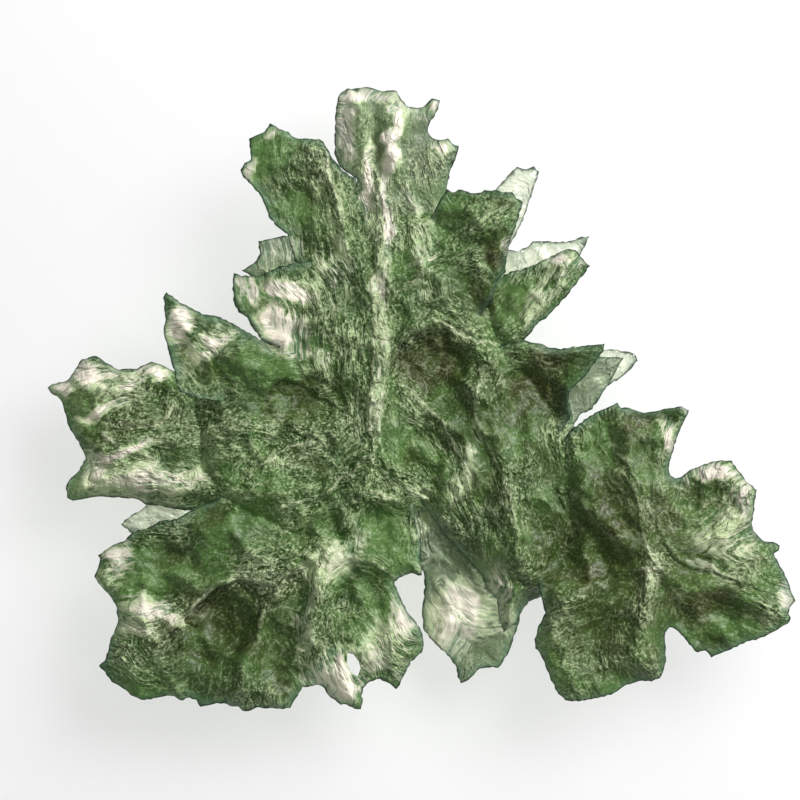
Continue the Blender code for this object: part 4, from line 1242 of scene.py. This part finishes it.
class MoldaviteLook(bpy.types.PropertyGroup):
    """Colours and finish of the glass."""

    green: colour_property("Green", "The body colour of the glass", 82, 116, 58)
    deep_green: colour_property("Deep green", "Its darker patches", 58, 86, 42)
    shadow_green: colour_property("Shadow green", "The lines between the wrinkles", 34, 56, 6)
    olive: colour_property("Olive", "The smooth deep pockets", 66, 86, 34)
    # The pockets' own darkest brown, and also the painted shade under the ledges
    brown_and_ledge_shade: colour_property("Brown", "The darkest parts of the pockets", 56, 54, 24)
    # Painted highlight on the crests of the wrinkles, crinkles and folds, along the streaks and on the lips
    # of small ledges, and paler glass in thin zones
    streak_highlight: colour_property("Streak", "The crests of the wrinkles", 202, 218, 170)
    vein: colour_property("Vein", "The thin sharp veins", 240, 246, 206)
    pale: colour_property("Pale", "Thin glass near the rims", 250, 238, 224)
    # Painted shade in the creases of thin glass and fins, beside its lines, and along the rims
    teal_shade: colour_property("Teal", "The wrinkles in thin glass", 88, 122, 96)
    clear: colour_property("Clear", "The thin fins with hardly any colour", 240, 243, 226)
    # Painted shadow under the ledges
    ledge_shadow: colour_property("Crease", "The sharp creases under the ledges", 20, 24, 12)
    # Painted dark edge along the rims, where the glass bends the light
    rim: colour_property("Rim", "The line along the rims", 38, 58, 44)
    absorbed: colour_property("Absorption colour", "What thick glass lets through", 150, 205, 130)
    absorption: amount("Absorption", "How strongly thick glass absorbs, in each metre", 160.0)
    transmission: amount("Transmission", "How much of the light goes through the body of the glass", 0.25)
    clearness: amount("Clearness", "How much of the light goes through the clear fins", 0.5)
    ior: amount("Index of refraction", "How strongly the glass bends light", 1.49)
    gloss: amount("Gloss", "Strength of the reflections", 0.14)
    bump_depth: length("Fine relief", "Height of the finest wrinkles", 0.14 * MILLIMETRE)
    crinkle_grain: amount("Crinkle grains", "Crinkles to a millimetre along the ridges", 2.4)
    crinkle_stretch: amount("Crinkle stretch", "How much finer the crinkles are across the ridges", 1.5)
    crest_low: amount("Crest start", "Height at which a crinkle's crest starts to brighten", 1.3)
    crest_high: amount("Crest full", "Height at which a crinkle's crest is bright", 1.7)
    gap_low: amount("Gap full", "Height at which the gap between crinkles is dark", 0.5)
    gap_high: amount("Gap start", "Height below which the gap between crinkles darkens", 0.9)
    line_grain: amount("Line grains", "Long streaks to a millimetre along the ridges", 0.4)
    line_stretch: amount("Line stretch", "How much finer the long streaks are across the ridges", 8.0)
    line_share: amount("Lines", "How strongly the long streaks show in the colour", 0.65)
    line_width: amount("Line width", "Width of the long streaks, as a share of the noise", 0.045)
    line_relief: amount("Line relief", "Height of the long streaks in the finest relief", 0.7)
    cloud_grain: amount("Cloud grains", "Patches of deeper green to a millimetre", 0.35)
    patch_grain: amount("Patch grains", "Clusters of streaks to a millimetre", 0.55)
    speck_grain: amount("Speck grains", "Small light and dark specks to a millimetre", 7.0)
    fault_grain: amount("Fault grains", "Small ledges to a millimetre", 0.8)
    fault_stretch: amount("Fault stretch", "How much finer the small ledges are across the ridges", 1.6)
    bump_grain: amount("Fine grains", "Grains of the finest relief to a millimetre", 6.0)
    roughness: amount("Roughness", "Roughness of the smooth glass", 0.42)
    wrinkled_roughness: amount("Wrinkled roughness", "How much rougher the wrinkled glass is", 0.06)
    fin_roughness: amount("Fin roughness", "Roughness of the clear fins", 0.15)


class MoldaviteStage(bpy.types.PropertyGroup):
    """The plain stage."""

    floor_width: length("Floor", "Width of the floor", 3.0)
    floor_colour: colour_property("Floor colour", "The pale card that the stone lies on", 235, 235, 236)
    sky: amount("Sky", "Strength of the even white light from all round", 0.3)
    lamp: power("Lamp", "Power of the soft lamp", 0.25)
    lamp_width: length("Lamp width", "Width of the soft lamp", 0.16)
    raking: power("Raking lamp", "Power of the shadowless lamp", 1.2)
    raking_width: length("Raking lamp width", "Width of the shadowless lamp", 0.08)
    view_width: length("View", "Width of the view at the rim of the stone", PHOTO_WIDTH * UNIT)
    lens: amount("Lens", "Focal length of the camera, in millimetres", 300.0)


class MOLDAVITE_OT_stone(bpy.types.Operator):
    """Builds the stone and its glass"""

    bl_idname = "moldavite.stone"
    bl_label = "Stone"

    def execute(self, context):
        shape = context.scene.moldavite_shape
        fields = surface_fields(shape)
        stone = joined_plates(fields, shape)
        finish_mesh(stone, shape)
        mark_surface(stone, fields, shape)
        settle(stone)
        stone.name = stone.data.name = "moldavite_stone"
        stone.data.materials.clear()
        stone.data.materials.append(glass_material(context.scene.moldavite_look))
        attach(stone, "root")
        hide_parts(STONE_NODE)
        return {"FINISHED"}


class MOLDAVITE_OT_stage(bpy.types.Operator):
    """Lays the floor and sets the lights and the camera"""

    bl_idname = "moldavite.stage"
    bl_label = "Stage"

    def execute(self, context):
        settings = context.scene.moldavite_stage
        lay_floor(settings)
        light(context.scene, settings)
        aim_camera(context.scene, settings)
        return {"FINISHED"}


def lay_floor(settings):
    """A flat square of card under the stone."""
    half = settings.floor_width / 2
    corners = np.array([(-half, -half, 0), (half, -half, 0), (half, half, 0), (-half, half, 0)])
    floor = new_object("floor", corners, np.array([[0, 1, 2, 3]]))
    floor.data.materials.append(floor_material(settings.floor_colour))


def hang_lamp(scene, name, place, energy, width, shadow):
    """A square lamp that shines on the stone from a place, with or without a shadow."""
    lamp = bpy.data.lights.new(name, "AREA")
    lamp.energy = energy
    lamp.size = width
    lamp.use_shadow = shadow
    held = bpy.data.objects.new(name, lamp)
    held.location = place
    held.rotation_euler = held.location.to_track_quat("Z", "Y").to_euler()
    scene.collection.objects.link(held)


def light(scene, settings):
    """An even white sky, a soft lamp, and a lower lamp without shadow that brings out the relief."""
    world = bpy.data.worlds.new("white_sky")
    world.use_nodes = True
    background = world.node_tree.nodes["Background"]
    background.inputs["Color"].default_value = (1.0, 1.0, 1.0, 1.0)
    background.inputs["Strength"].default_value = settings.sky
    scene.world = world
    hang_lamp(scene, "soft_lamp", LAMP_PLACE, settings.lamp, settings.lamp_width, True)
    hang_lamp(scene, "raking_lamp", RAKING_PLACE, settings.raking, settings.raking_width, False)
    scene.view_settings.view_transform = "Standard"


def aim_camera(scene, settings):
    """A camera straight above, so far up that the view is as wide as the photo at the stone's rim."""
    camera = bpy.data.cameras.new("camera")
    camera.lens = settings.lens
    camera.clip_start = 10 * MILLIMETRE
    held = bpy.data.objects.new("camera", camera)
    middle = (PHOTO_MIDDLE - STONE_MAP_MIDDLE) * UNIT
    distance = settings.view_width * settings.lens / camera.sensor_width
    held.location = (middle[0], -middle[1], RIM_HEIGHT + distance)
    scene.collection.objects.link(held)
    scene.camera = held


class MOLDAVITE_PT_panel(bpy.types.Panel):
    """Lists the stone and the stage in the sidebar"""

    bl_idname = "MOLDAVITE_PT_panel"
    bl_label = "Moldavite"
    bl_space_type = "VIEW_3D"
    bl_region_type = "UI"
    bl_category = "Moldavite"

    def draw(self, context):
        for operator in OPERATORS:
            self.layout.operator(operator.bl_idname)
        for name in GROUPS:
            group = getattr(context.scene, name)
            box = self.layout.box()
            for setting in group.bl_rna.properties.keys():
                if setting not in ("rna_type", "name"):
                    box.prop(group, setting)


OPERATORS = (MOLDAVITE_OT_stone, MOLDAVITE_OT_stage)
GROUPS = {
    "moldavite_shape": MoldaviteShape,
    "moldavite_look": MoldaviteLook,
    "moldavite_stage": MoldaviteStage,
}
CLASSES = (*GROUPS.values(), *OPERATORS, MOLDAVITE_PT_panel)


def register():
    """Adds the classes and the scene's settings."""
    for made in CLASSES:
        bpy.utils.register_class(made)
    for name, group in GROUPS.items():
        setattr(bpy.types.Scene, name, bpy.props.PointerProperty(type=group))


def unregister():
    """Takes the settings and the classes away again."""
    for name in GROUPS:
        delattr(bpy.types.Scene, name)
    for made in reversed(CLASSES):
        bpy.utils.unregister_class(made)


def main():
    """Builds the stone on its stage."""
    register()
    bpy.ops.moldavite.stone()
    bpy.ops.moldavite.stage()


if __name__ == "__main__":
    main()
